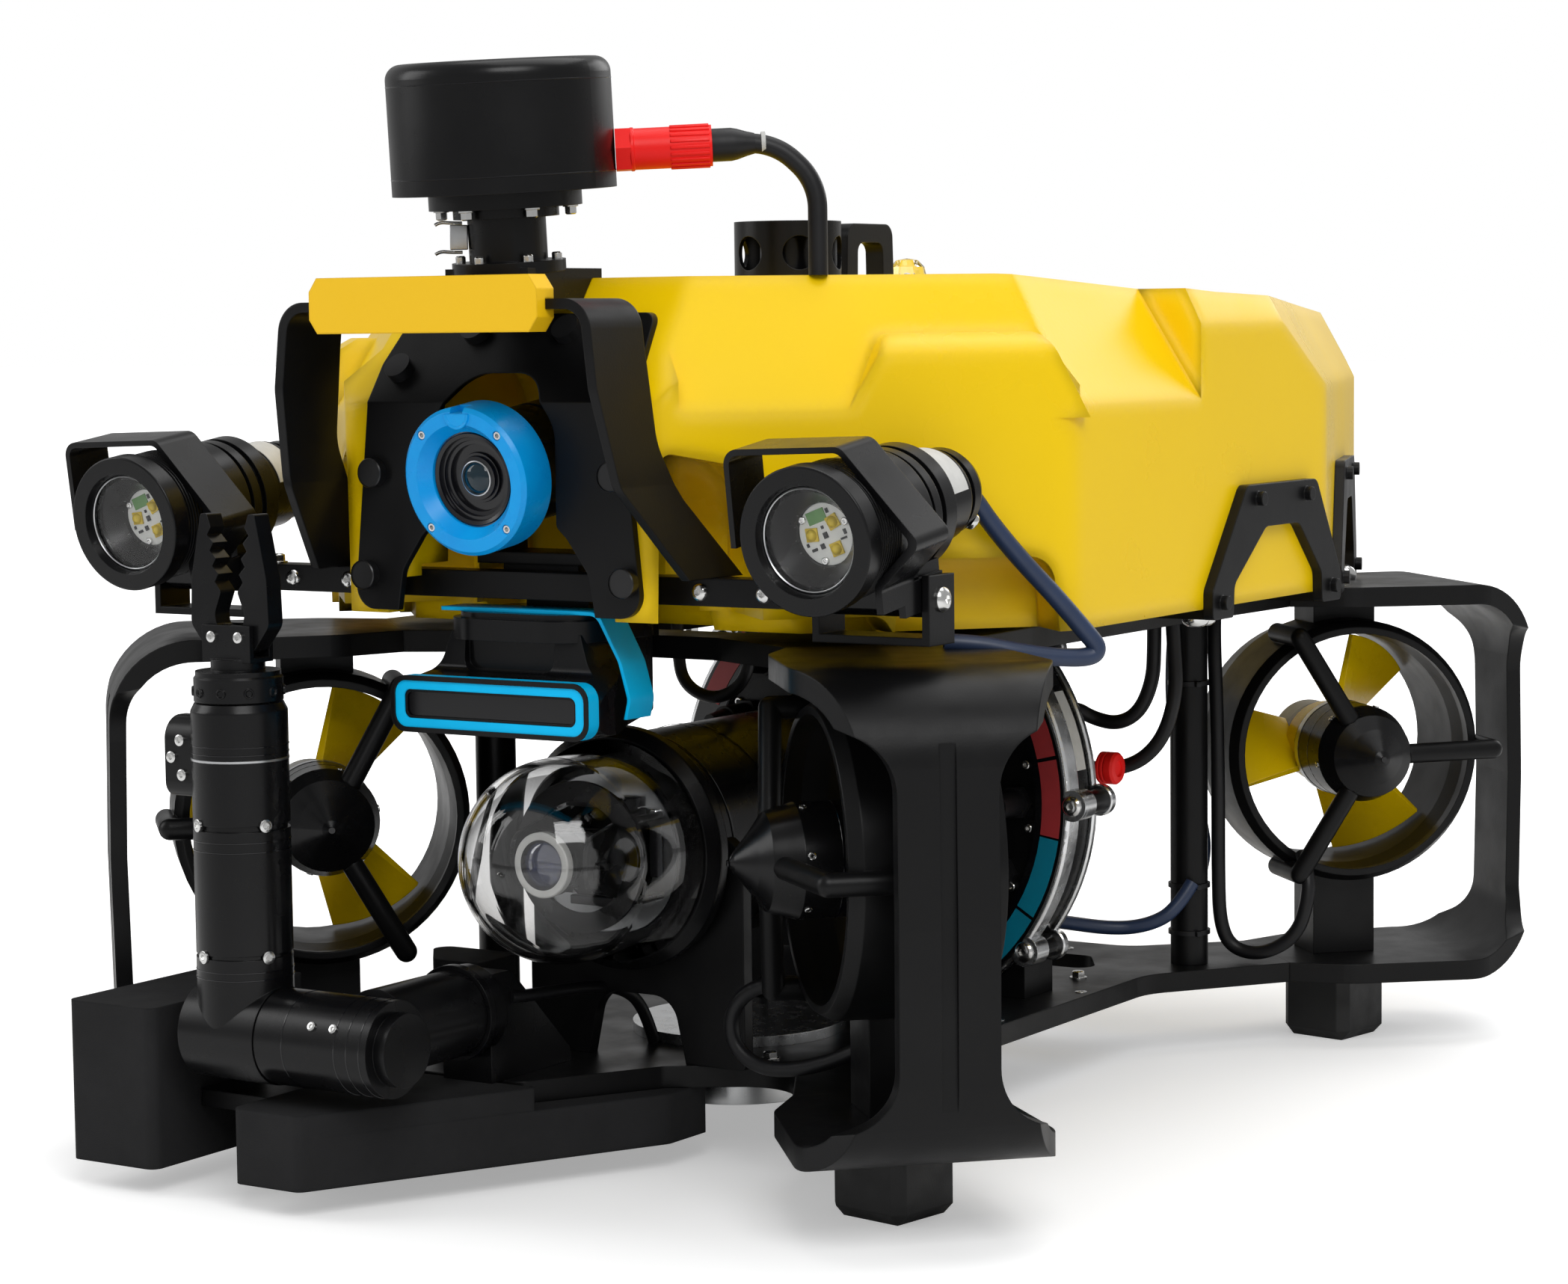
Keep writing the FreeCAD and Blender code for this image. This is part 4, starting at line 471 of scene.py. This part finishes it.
def soft_rectangle(half_x, half_z, radius, x=0.0, z=0.0, steps=6):
    """The corner points of a rounded rectangle."""
    points = []
    for sx, sz, start in ((1, 1, 0), (-1, 1, 90), (-1, -1, 180), (1, -1, 270)):
        for i in range(steps + 1):
            angle = math.radians(start + 90 * i / steps)
            points.append((x + sx * (half_x - radius) + radius * math.cos(angle),
                           z + sz * (half_z - radius) + radius * math.sin(angle)))
    return points


def own(item, finish, body):
    """Give a new piece its material and its body, and link it into the scene."""
    item.data.materials.append(F[finish])
    bpy.context.scene.collection.objects.link(item)
    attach(item, body)
    return item


def piece(name, finish, build, body="vehicle", crease=32):
    """A mesh piece from a function that fills a bmesh."""
    bm = bmesh.new()
    build(bm)
    bmesh.ops.recalc_face_normals(bm, faces=bm.faces)
    mesh = bpy.data.meshes.new(name)
    bm.to_mesh(mesh)
    bm.free()
    for face in mesh.polygons:
        face.use_smooth = True
    mesh.set_sharp_from_angle(angle=math.radians(crease))
    return own(bpy.data.objects.new(name, mesh), finish, body)


def tube(name, finish, points, radius, body="vehicle"):
    """A cable along a smooth spline through the vehicle frame."""
    data = bpy.data.curves.new(name, "CURVE")
    data.dimensions = "3D"
    data.bevel_depth = radius * MM
    data.bevel_resolution = 5
    data.resolution_u = 10
    data.use_fill_caps = True
    line = data.splines.new("NURBS")
    line.points.add(len(points) - 1)
    for point, place in zip(line.points, points):
        point.co = (*at(*place), 1)
    line.order_u = 3
    line.use_endpoint_u = True
    return own(bpy.data.objects.new(name, data), finish, body)


def flexing_tube(name, finish, points, radius):
    """A cable as one fixed mesh along a smooth spline through the given points, baked in place and linked to
    the scene with no body.
    """
    line = tube(name + "_line", finish, points, radius)
    mesh = bpy.data.meshes.new_from_object(line.evaluated_get(bpy.context.evaluated_depsgraph_get()))
    bpy.data.objects.remove(line)
    item = bpy.data.objects.new(name, mesh)
    bpy.context.scene.collection.objects.link(item)
    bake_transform(item)


def socket_screw(bm, matrix, radius, height):
    """A cap head with a hexagonal socket."""
    lathe(bm, [(CENTRE, 0.4 * height), (0.5 * radius, 0.4 * height, 6), (0.5 * radius, height, 6),
               (0.8 * radius, height), (radius, 0.82 * height), (radius, 0)], matrix, 24)


def dome_bolt(bm, matrix, radius, height):
    """A button head with a hexagonal socket."""
    lathe(bm, [(CENTRE, 0.45 * height), (0.38 * radius, 0.45 * height, 6), (0.38 * radius, height, 6),
               (0.62 * radius, 0.94 * height), (0.86 * radius, 0.7 * height), (radius, 0.3 * height),
               (radius, 0)], matrix, 30)


def hex_bolt(bm, matrix, radius, height):
    """A hexagonal head on a washer."""
    lathe(bm, [(CENTRE, height), (0.7 * radius, height), (0.98 * radius, 0.88 * height, 6),
               (radius, 0.22 * height, 6), (radius * 1.25, 0.2 * height), (radius * 1.25, 0)], matrix, 24)


def seated(node, x, y, z):
    """A local frame on a node's own surface, nearest to a vehicle point and facing out of it."""
    _, place, normal, _ = NODES[node].closest_point_on_mesh(at(x, y, z))
    turn = Vector((0, 1, 0)).rotation_difference(normal).to_matrix().to_4x4()
    return Matrix.Translation(place) @ turn @ Matrix.Scale(MM, 4)


def screws(name, kind, places, radius, height, body="vehicle", finish="steel"):
    """The same screw at several local frames, as one piece."""
    def build(bm):
        for place in places:
            kind(bm, place, radius, height)
    return piece(name, finish, build, body)


def around(frame, radius, height, angles):
    """Local frames on a circle about a frame's Y axis, facing along it."""
    places = [(radius * math.cos(a), height, radius * math.sin(a)) for a in map(math.radians, angles)]
    return [frame @ Matrix.Translation(place) for place in places]


def arc_band(name, finish, frame, inner, outer, low, high, first, last, body="vehicle"):
    """A strip of a flat or round ring between two angles, closed on every side."""
    def build(bm):
        steps = max(4, round((last - first) / 4))
        section = [(inner, low), (outer, low), (outer, high), (inner, high), (inner, low)]
        lathe(bm, section, frame, steps, first, last)
        bmesh.ops.remove_doubles(bm, verts=bm.verts, dist=1e-7)
        bmesh.ops.holes_fill(bm, edges=bm.edges, sides=4)
    return piece(name, finish, build, body)


# ---------------------------------------------------------------------- local frames, millimetres
FORWARD = Matrix.Rotation(math.pi, 4, "Z")
LOOK_AHEAD = Matrix.Rotation(math.radians(8), 4, "X") @ FORWARD
CAMERA = stand(0, -300, 383.5, LOOK_AHEAD)
LAMP_X, LAMP_Y, LAMP_Z = 213, -290, 363
THRUSTER_X, THRUSTER_Y, THRUSTER_Z = 186, 271, 183
POD_Z = 171
POD_FRONT = stand(0, 62, POD_Z, FORWARD)
CLAMP_LUGS = (0, 40, 140, 180, 220, 320)
POST_X, POST_Y = 130, 180
ARM_X, ARM_Y, ARM_Z = -122, -408, 88
ARM_RADIUS = 25
FRAME_UNDERSIDE = 274
PLATE_TOP = 54
MAST = stand(0, -332, 475, Matrix.Rotation(math.radians(4), 4, "X"))
UP = Matrix.Rotation(math.pi / 2, 4, "X")
OUTWARD = Matrix.Rotation(-math.pi / 2, 4, "Z")
SIDES = {"port": 1, "starboard": -1}
ENDS = {"front": -1, "rear": 1}


def nose_camera():
    """Screws and the marker on the blue bezel, and the glass and rings behind it."""
    body = "camera_tilting"
    corners = around(CAMERA, 33.5, 70.2, (45, 135, 225, 315))
    screws("camera_bezel_screws", socket_screw, corners, 2.5, 4.4, body)
    mark = CAMERA @ Matrix.Translation((0, 0, 34.6))
    piece("camera_bezel_mark", "blue", lambda bm: lathe(bm, [
        (CENTRE, 75.5), (6.2, 75.5), (6.6, 75.9), (7.6, 75.9), (7.8, 75.2), (7.8, 73)],
        mark, 30, 180, 360), body)
    piece("camera_lens_rings", "lens_ring", lambda bm: lathe(bm, [
        (23.9, 66.5), (23.4, 67.2), (21.6, 66.6), (21.2, 64.6), (19.6, 64.6), (19.2, 62.6), (17.4, 62.4),
        (17, 60), (13, 60), (12.6, 61.8), (11.4, 61.8), (11, 63.4), (8.8, 63.6)], CAMERA, 48), body)
    piece("camera_front_lens", "pupil", lambda bm: lathe(bm, [
        (8.7, 63.2), (7.6, 64.6), (5.4, 65.8), (2.8, 66.4), (CENTRE, 66.6)], CAMERA, 40), body)
    piece("camera_lens_trim", "silver", lambda bm: lathe(bm, [
        (9.1, 63.2), (9.1, 64.2), (8.5, 64.4), (8.3, 63.8)], CAMERA, 40), body)


def lamp(side_name, side):
    """One lamp's fins, reflector, circuit board, label and screws."""
    body = f"lamp_{side_name}_head"
    frame = stand(LAMP_X * side, LAMP_Y, LAMP_Z, LOOK_AHEAD)
    name = f"lamp_{side_name}"
    fins = [(32.6, 50)]
    for i in range(10):
        low = 70 + 2.1 * i
        fins += [(33.1, low), (34.3, low + 0.5), (34.3, low + 1.2), (33.1, low + 1.6)]
    piece(name + "_fins", "anodised", lambda bm: lathe(bm, fins, frame, 60), body, 20)
    piece(name + "_reflector", "grey", lambda bm: lathe(bm, [
        (15.6, 82.4), (15.8, 84.4), (22.4, 94), (25.2, 94.6)], frame, 48), body)
    piece(name + "_lip_ring", "silver", lambda bm: lathe(bm, [
        (25.3, 98.2), (25.4, 98.8), (24.9, 99.1), (24.5, 98.7), (24.6, 98.1)], frame, 48), body)
    piece(name + "_back_ribs", "anodised", lambda bm: lathe(bm, [
        (24.1, 4), (24.7, 4.6), (24.7, 8.4), (24.1, 9)], frame, 48), body)
    arc_band(name + "_label", "white", frame, 24.2, 24.6, -12, 2, 10, 170, body)
    new = piece(name + "_circuit", "board", lambda bm: lathe(bm, [
        (CENTRE, 81.7), (15.1, 81.7), (15.3, 81.4), (15.3, 80.2)], frame, 40), body)
    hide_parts(name + "_board")
    leds = ((7.9, -0.7, 0.1), (-4.2, 6.1, 0.5), (-5.4, -6.9, 0.35))

    def led_bases(bm):
        for x, z, spin in leds:
            base = frame @ Matrix.Translation((x, 82.2, z)) @ Matrix.Rotation(spin, 4, "Y")
            block(bm, base, (6.6, 1.0, 6.6), bevel=0.2)

    def led_domes(bm):
        for x, z, _ in leds:
            lathe(bm, [(2.9, 82.6), (2.7, 83.6), (1.9, 84.5), (0.9, 85), (CENTRE, 85.1)],
                  frame @ Matrix.Translation((x, 0, z)), 24)

    piece(name + "_led_bases", "led", led_bases, body)
    piece(name + "_led_domes", "led", led_domes, body)
    tilt = Matrix.Rotation(0.35, 4, "Y")
    piece(name + "_green_pad", "green", lambda bm: block(
        bm, frame @ Matrix.Translation((5, 81.9, 8.2)) @ tilt, (10.5, 0.6, 6.2), bevel=0.15), body)

    def chips(bm):
        for x, z, w, h in ((0.4, -0.6, 2.4, 3), (2.4, -6, 2.2, 2.6), (-10.4, 1.6, 1.4, 2.6),
                           (7, -8, 3, 1.4), (-9.6, -1.6, 3.4, 1.0), (-1.2, 11.4, 1.4, 2.4),
                           (2, 3.2, 1.2, 1.6), (10.6, -6, 1.2, 1.8)):
            block(bm, frame @ Matrix.Translation((x, 82, z)) @ tilt, (w, 0.9, h), bevel=0.15)

    piece(name + "_chips", "chip", chips, body)
    screws(name + "_board_screws", socket_screw, [
        frame @ Matrix.Translation((x, 81.6, z)) for x, z in ((12.6, 6.4), (-11.2, 6.6), (1.4, -13))],
        1.9, 1.8, body)
    screws(name + "_pivot_bolts", dome_bolt, [
        aim(x * side, -321, 317.9, (side * turn, 0, 0)) for x, turn in ((246.1, 1), (179.9, -1))], 6.2, 3.4)
    screws(name + "_saddle_screw", dome_bolt, [seated(name, 236 * side, -250, 343)], 4.4, 3, body)


def lamp_cable():
    """The port lamp's dark blue cable, from its gland round the corner and back under the float."""
    piece("lamp_port_gland", "anodised", lambda bm: lathe(bm, [
        (9.5, -35), (9.5, -39, 6), (9, -41, 6), (6.4, -41), (6.2, -46), (5.2, -47)],
        stand(LAMP_X, LAMP_Y, LAMP_Z, LOOK_AHEAD), 30), "lamp_port_head")
    flexing_tube("lamp_port_cable", "navy", [
        (213, -251, 369.6), (214, -238, 366), (220, -228, 350), (231, -215, 330), (243, -201, 311),
        (253, -190, 294), (259, -184, 284), (256, -187, 279), (243, -203, 280), (228, -219, 284),
        (214, -230, 288), (200, -240, 289)],
        4.8)


def mask_trim():
    """A rim round each of the mask's four side studs."""
    def rims(bm):
        for x, z in ((82, 323), (76, 376)):
            for side in (-1, 1):
                stud = aim(x * side, -353.4, z, (0, -1, 0))
                lathe(bm, [(7.2, 0), (7.7, 0.4), (7.7, 1.6), (7.2, 2.2)], stud, 30)
    piece("mask_stud_rims", "stud", rims)


def sonar_trim():
    """The imaging sonar's black edge, its dark window and the window's rim."""
    body = "imaging_sonar"
    middle, half = 257.5, 14.5
    outer = soft_rectangle(62.6, half + 0.2, 9)
    inner = soft_rectangle(60, half - 2.4, 7)
    pane = soft_rectangle(54.2, 7.3, 4)
    rim_outer = soft_rectangle(54.6, 7.6, 4.2)
    rim_inner = soft_rectangle(53.2, 6.2, 3.2)
    for name, finish, y, thick, loop, hole in (
            ("sonar_edge", "anodised", -357, 0.8, outer, inner),
            ("sonar_window", "window", -354.2, 0.7, pane, None),
            ("sonar_window_rim", "anodised", -355.2, 0.9, rim_outer, rim_inner)):
        place = stand(0, y, middle, FORWARD)
        piece(name, finish, lambda bm: outline_plate(bm, place, loop, thick, hole), body)


def pod_trim():
    """The clamp's second ring with its lugs, the coloured sectors, the bare label and the cap behind."""
    lugs = around(POD_FRONT, 136.4, 0, CLAMP_LUGS)

    def back_ring(bm):
        lathe(bm, [(126.2, 9), (132.6, 9), (133.6, 10), (133.6, 13), (132.6, 14), (126.2, 14), (126.2, 9)],
              POD_FRONT, 96)
        for lug in lugs:
            lathe(bm, [(CENTRE, 8.6), (8.6, 8.6), (9.4, 9.4), (9.4, 13.6), (8.6, 14.4), (CENTRE, 14.4)],
                  lug, 36)
    piece("clamp_back_ring", "aluminium", back_ring)

    def wall(bm):
        lathe(bm, [(126.1, 14.4), (130.4, 14.6), (130.8, 15), (130.8, 31), (130.4, 31.4), (126.1, 31.6)],
              POD_FRONT, 96)
        for lug in lugs:
            lathe(bm, [(6.8, 14.2), (6.8, 32)], lug, 30)
    piece("clamp_wall", "anodised", wall)
    screws("clamp_lug_bolts", dome_bolt, around(POD_FRONT, 136, 46, CLAMP_LUGS), 6, 2.6)
    piece("clamp_seat", "window", lambda bm: lathe(bm, [
        (112.4, 46.1), (112.4, 46.5), (131, 46.5), (131.4, 46.1)], POD_FRONT, 96))
    for index, (finish, first, last) in enumerate((
            ("band_blue", 142.5, 146), ("band_red", 146.6, 167), ("band_red", 168, 188.6),
            ("band_teal", 189.2, 211), ("band_teal", 212, 232), ("band_red", 24, 40), ("band_red", 41, 58),
            ("band_teal", 312, 330))):
        arc_band(f"sector_{index}", finish, POD_FRONT, 117, 129, 46.4, 47, first, last)
    screws("drum_screws", socket_screw, around(POD_FRONT, 107, 41.8, range(8, 360, 20)), 2.6, 2.6)
    arc_band("pod_label", "white", POD_FRONT, 130.8, 131.3, 17, 29.6, 151, 172)
    piece("pod_red_cap", "red", lambda bm: lathe(bm, [
        (8, 0), (9.6, 0.6), (9.6, 2), (8.8, 2.6), (9.6, 3.2), (9.6, 4.6), (8.8, 5.2), (9.6, 5.8), (9.6, 10),
        (8.4, 11.4), (5, 11.8), (4.6, 10.4), (CENTRE, 10.4)], aim(126, 72, 187, (1, 0, 0)), 36))


def on_mast(radius, height, turn):
    """Six local frames round the mast."""
    return [MAST @ Matrix.Translation((radius * math.cos(a), radius * math.sin(a), height)) @ turn
            for a in map(math.radians, range(30, 390, 60))]


def mast_trim():
    """Screws, seams and the clamp on the mast, and what is on its plug."""
    screws("mast_cap_bolts", hex_bolt, on_mast(33, 36, UP @ Matrix.Rotation(math.pi, 4, "X")), 3.2, 5)
    screws("mast_foot_screws", socket_screw, on_mast(24.6, 9, UP), 2.6, 3.6)
    head = MAST @ UP
    piece("mast_head_seams", "window", lambda bm: [lathe(bm, [
        (56.9, z), (57.15, z + 0.2), (57.15, z + 0.7), (56.9, z + 0.9)], head, 80) for z in (98.4, 52)])
    clamp = stand(-20.5, -346.5, 496, Matrix.Rotation(math.radians(-57), 4, "Z"))

    def clamp_block(bm):
        block(bm, clamp, (9, 7, 11), (2, 0, 0), 0.8)
        block(bm, clamp, (3, 9, 12.6), (5.5, 0, 0), 0.5)
    piece("mast_clamp", "silver", clamp_block)
    for index, z in enumerate((488.6, 503.4)):
        tube(f"mast_clamp_wire_{index}", "steel", [
            (-20, -345, z), (-25, -348, z), (-30, -351, z + 0.6), (-32, -352, z - 1)], 0.9)
    out = Vector((math.cos(math.radians(35)), math.sin(math.radians(35)), 0))
    turn = Vector((0, 1, 0)).rotation_difference(out).to_matrix().to_4x4()
    plug = MAST @ Matrix.Translation((0, 0, 62)) @ turn

    def ribs(bm):
        for i in range(20):
            spin = Matrix.Rotation(2 * math.pi * i / 20, 4, "Y")
            block(bm, plug @ spin, (1.7, 20, 1.0), (0, 95, 10.7), 0.35)
        lathe(bm, [(10.5, 64.6), (11.1, 65), (11.1, 66.4), (10.6, 66.8)], plug, 48)
    piece("mast_plug_ribs", "red", ribs)
    piece("mast_plug_boot", "cable", lambda bm: lathe(bm, [
        (8.4, 106), (8.4, 116), (7.8, 119), (6.2, 124), (5.2, 128)], plug, 40))
    piece("mast_cable_tie", "nylon", lambda bm: lathe(bm, [
        (5, 131.2), (5.7, 131.4), (5.7, 133.4), (5, 133.6)], plug, 32))


def top_trim():
    """The beacon's screws and the faceted strobe."""
    screws("beacon_screws", dome_bolt, [
        aim(30.4 * math.cos(a), -68 + 30.4 * math.sin(a), 473.4, (math.cos(a), math.sin(a), 0))
        for a in map(math.radians, range(45, 405, 60))], 2.2, 1.6)
    deck = 462.2
    strobe = aim(0, 65, deck, (0, 0, 1))
    screws("strobe_screws", socket_screw, [
        aim(x, 65 + y, deck, (0, -0.03, 1)) for x, y in ((14.5, 0), (-14.5, 0))], 2.2, 2.4)
    piece("strobe_base", "silver", lambda bm: lathe(bm, [
        (12.2, -1), (12.6, 0), (12.6, 4), (11.4, 5.4), (CENTRE, 5.4)], strobe, 40))
    gem = piece("strobe_gem", "clear", lambda bm: lathe(bm, [
        (8.4, 5.3), (10.8, 9), (12, 15), (10.6, 21), (6.6, 25), (CENTRE, 26.2)], strobe, 9), crease=4)
    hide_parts("strobe")
    piece("strobe_bulb", "nylon", lambda bm: lathe(bm, [
        (2.6, 5.3), (2.6, 14), (1.8, 16.4), (CENTRE, 17)], strobe, 20))


def thruster_trim(end_name, end, side_name, side):
    """Screws, seams and the tail cap of one corner thruster."""
    nose_x = -side if end < 0 else side
    turn = Matrix.Rotation(math.atan2(-1, nose_x) - math.pi / 2, 4, "Z")
    frame = stand(THRUSTER_X * side, THRUSTER_Y * end, THRUSTER_Z, turn)
    name = f"thruster_{end_name}_{side_name}"

    def build(bm):
        for angle in (60, 180, 300, 0, 120, 240):
            spin = Matrix.Rotation(math.radians(angle + 12), 4, "Y")
            out = frame @ spin @ Matrix.Translation((28.6, 47, 0)) @ OUTWARD
            socket_screw(bm, out, 2.0, 1.6)
    piece(name + "_screws", "steel", build)
    piece(name + "_tip", "window", lambda bm: lathe(bm, [
        (CENTRE, 84.15), (1.7, 84.15), (1.9, 83.6)], frame, 24))
    piece(name + "_motor_seam", "window", lambda bm: lathe(bm, [
        (29.4, 30), (29.65, 30.2), (29.65, 31), (29.4, 31.2)], frame, 48))
    piece(name + "_collar", "silver", lambda bm: lathe(bm, [
        (29.45, 9), (29.8, 9.4), (29.8, 15), (29.45, 15.4)], frame, 48))
    piece(name + "_tail", "nylon", lambda bm: lathe(bm, [
        (18, -26.1), (23.4, -26.3), (24, -27), (24, -46), (22.6, -48), (CENTRE, -48)], frame, 48),
        f"propeller_{end_name}_{side_name}_body")


def harness():
    """The vehicle's visible cable runs and the ties on a post. front_port_loop's last end hangs free."""
    runs = {
        "front_port_loop": (4.1, "cable", [
            (163, -262, 106), (152, -261, 107), (138, -262, 110), (116, -262, 112), (94, -262, 106),
            (82, -262, 92), (84, -262, 74), (100, -261, 64), (124, -260, 66), (148, -258, 74),
            (166, -257, 84), (178, -260, 92), (185, -266, 98)]),
        "rear_port_loop": (4.3, "cable", [
            (190, 214, 122), (197, 208, 112), (199, 204, 95), (192, 202, 72), (170, 200, 59),
            (150, 198, 62), (144, 194, 78), (145, 190, 110), (146, 188, 160), (145, 188, 215),
            (142, 190, 260), (140, 196, 274)]),
        "rear_port_feed": (5.4, "navy", [
            (120, 196, 274), (113, 198, 262), (110, 200, 238), (110, 200, 210), (116, 198, 184),
            (124, 194, 160), (130, 194, 140), (134, 192, 122), (133, 188, 112)]),
        "low_feed": (4.4, "navy", [
            (62, 58, 96), (64, 84, 92), (74, 118, 84), (98, 142, 78), (118, 150, 81), (132, 158, 90),
            (138, 168, 106)]),
        "drum_loop_upper": (4.3, "cable", [
            (151, 92, 272), (151, 92, 258), (150, 92, 238), (142, 91, 219), (128, 90, 211), (112, 88, 214),
            (104, 78, 222), (98, 58, 221)]),
        "drum_loop_lower": (4.3, "cable", [
            (162, 94, 272), (163, 94, 256), (165, 93, 232), (158, 92, 206), (144, 90, 190), (126, 86, 184),
            (112, 78, 186), (104, 58, 186)]),
        "nose_loop": (3.6, "cable", [
            (-46, -118, 292), (-46, -118, 264), (-42, -118, 246), (-22, -119, 238), (-2, -120, 246),
            (6, -120, 264), (6, -120, 292)]),
        "arm_lead": (3.4, "cable", [
            (-30, -304, 97), (-28, -290, 96), (-26, -266, 95), (-24, -238, 93), (-20, -212, 88),
            (-18, -196, 74), (-18, -188, 55)]),
    }
    for name, (radius, finish, points) in runs.items():
        tube(name, finish, points, radius)
    ties = [aim(POST_X, POST_Y, z, (0, 0, 1)) for z in (103, 74, 228)]

    def build(bm):
        for tie in ties:
            lathe(bm, [(11.5, -1.6), (12.9, -1.4), (12.9, 1.4), (11.5, 1.6)], tie, 36)
            block(bm, tie @ Matrix.Rotation(math.radians(-40), 4, "Y"), (4, 3.4, 3.4), (14, 0, 0), 0.4)
    piece("post_cable_ties", "cable", build)


def fastenings():
    """Bolts and screws on the base plate, the upper frame, the float brackets and the lamp bar."""
    up, down, ahead = (0, 0, 1), (0, 0, -1), (0, -1, 0)
    screws("plate_bolts", hex_bolt, [aim(x, y, PLATE_TOP, up) for x, y in (
        (20.3, -176), (64, -196), (-20, -176), (-70, -188), (95, 100), (-95, 100), (108, -150),
        (-108, -150), (60, 120), (-60, 120))], 4.2, 4.6)
    screws("plate_flush_screws", socket_screw, [aim(x, y, PLATE_TOP - 0.4, up) for x, y in (
        (64.5, -214), (97, -176), (118, 60), (-118, 60), (118, -40), (-118, -40), (40, 190),
        (-40, 190))], 3.6, 1.0)
    screws("frame_bolts", hex_bolt, [aim(x, y, FRAME_UNDERSIDE, down) for x, y in (
        (-75, -60), (-70, -150), (75, -60), (70, -150), (100, 20), (-100, 20), (110, 110),
        (-110, 110), (150, -120), (-150, -120), (150, 150), (-150, 150))], 4, 4.4)
    screws("frame_front_bolts", dome_bolt, [aim(x, y, FRAME_UNDERSIDE, down) for x, y in (
        (82, -222), (98, -206), (-82, -222), (-98, -206))], 4.4, 3.4)
    screws("bracket_buttons", dome_bolt, [
        seated("float_brackets", x * side, y, 284)
        for side in (-1, 1) for x, y in ((232, 16), (232, -18), (214, 192), (192, 250))], 7.6, 5)
    screws("lamp_bar_bolts", dome_bolt, [
        aim(x, -329, 318, ahead) for x in (-150, -112, 112, 150)], 4.6, 3)
    screws("lamp_bar_nuts", hex_bolt, [aim(x, -321, 325, up) for x in (-168, 168)], 4.4, 5)


def seams(name, frame, heights, body):
    """Raised dark joint lines round an arm tube."""
    low, high = ARM_RADIUS, ARM_RADIUS + 0.25

    def build(bm):
        for z in heights:
            lathe(bm, [(low, z), (high, z + 0.15), (high, z + 0.6), (low, z + 0.75)], frame, 64)
    piece(name, "window", build, body)


def arm_trim():
    """Screws, seams and rings on the manipulator."""
    fore = aim(ARM_X, ARM_Y, ARM_Z, (0, 0, 1))
    screws("arm_pod_screws", socket_screw, [aim(x, ARM_Y - 14, z, (0, -1, 0)) for x, z in (
        (-150, 240), (-156, 231), (-149, 222))], 3.0, 1.6, "forearm")
    round_tube = []
    for a, z in ((-0.35, 198), (-0.25, 130), (1.2, 130), (1.2, 198)):
        across, along = math.sin(a), -math.cos(a)
        round_tube.append(aim(ARM_X + ARM_RADIUS * across, ARM_Y + ARM_RADIUS * along, z, (across, along, 0)))
    screws("arm_tube_screws", socket_screw, round_tube, 3.4, 1.4, "forearm")
    seams("arm_seams", fore, (30, 34, 96, 101, 146, 150), "forearm")
    piece("arm_light_ring", "silver", lambda bm: lathe(bm, [
        (25, 142.4), (25.3, 142.6), (25.3, 143.6), (25, 143.8)], fore, 64), "forearm")

    def crown(bm):
        lathe(bm, [(22.1, 172.6), (23, 173), (23, 185), (22.1, 186)], fore, 60)
        for i in range(10):
            a = 2 * math.pi * i / 10
            spot = fore @ Matrix.Rotation(a, 4, "Y") @ Matrix.Translation((23, 178, 0)) @ OUTWARD
            lathe(bm, [(CENTRE, 0.1), (1.4, 0.1), (1.9, 0.9), (2.5, 0.9), (2.7, 0)], spot, 20)
    piece("wrist_crown", "anodised", crown, "wrist")
    screws("wrist_screws", socket_screw, [
        aim(ARM_X + x, ARM_Y - 9, 294, (0, -1, 0)) for x in (-9, 9)], 2.9, 1.8, "wrist")
    shoulder = aim(-96.5, ARM_Y, ARM_Z, (1, 0, 0))
    seams("shoulder_seams", shoulder, (18, 52, 60, 68), "arm_shoulder")
    along, upward = -math.cos(0.5), math.sin(0.5)
    screws("shoulder_screws", socket_screw, [
        aim(x, ARM_Y + ARM_RADIUS * along, ARM_Z + ARM_RADIUS * upward, (0, along, upward))
        for x in (-60, -46)], 2.4, 1.2, "arm_shoulder")


def dome_trim():
    """What shows inside the dome, and the seams of the clamp behind it."""
    eye = stand(0, -296, POD_Z, FORWARD)
    piece("dome_eye_ring", "nylon", lambda bm: lathe(bm, [
        (13.2, 18.4), (14, 18.8), (16.6, 18.8), (17.2, 18.2), (17.2, 14), (16.8, 13)], eye, 48), "dome_eye")
    piece("dome_eye_glass", "lens", lambda bm: lathe(bm, [
        (12.8, 15.4), (11, 17.2), (7, 18.8), (3, 19.5), (CENTRE, 19.6)], eye, 40), "dome_eye")
    module = stand(0, -256, POD_Z, FORWARD)
    clamp = stand(0, -236, POD_Z, FORWARD)

    def boards(bm):
        for x, z, w, h in ((0, 27, 44, 5), (0, -27, 40, 5), (33, 4, 5, 24), (-33, 2, 5, 26)):
            block(bm, module, (w, 5, h), (x, 3.2, z), 0.6)
    piece("dome_board_parts", "chip", boards)
    piece("dome_back_plate", "silver", lambda bm: lathe(bm, [
        (31, 0.4), (44.6, 0.4), (44.9, 0.9), (44.9, 1.6)], module, 48))
    screws("dome_module_screws", socket_screw, around(module, 38, 0.8, (35, 145, 215, 325)), 2.4, 2.4)
    piece("dome_clamp_seams", "window", lambda bm: [lathe(bm, [
        (60.4, y), (60.7, y + 0.2), (60.7, y + 0.8), (60.4, y + 1)], clamp, 72) for y in (-14, -60)])


nose_camera()
for side_name, side in SIDES.items():
    lamp(side_name, side)
    for end_name, end in ENDS.items():
        thruster_trim(end_name, end, side_name, side)
lamp_cable()
mask_trim()
sonar_trim()
pod_trim()
mast_trim()
top_trim()
harness()
fastenings()
arm_trim()
dome_trim()
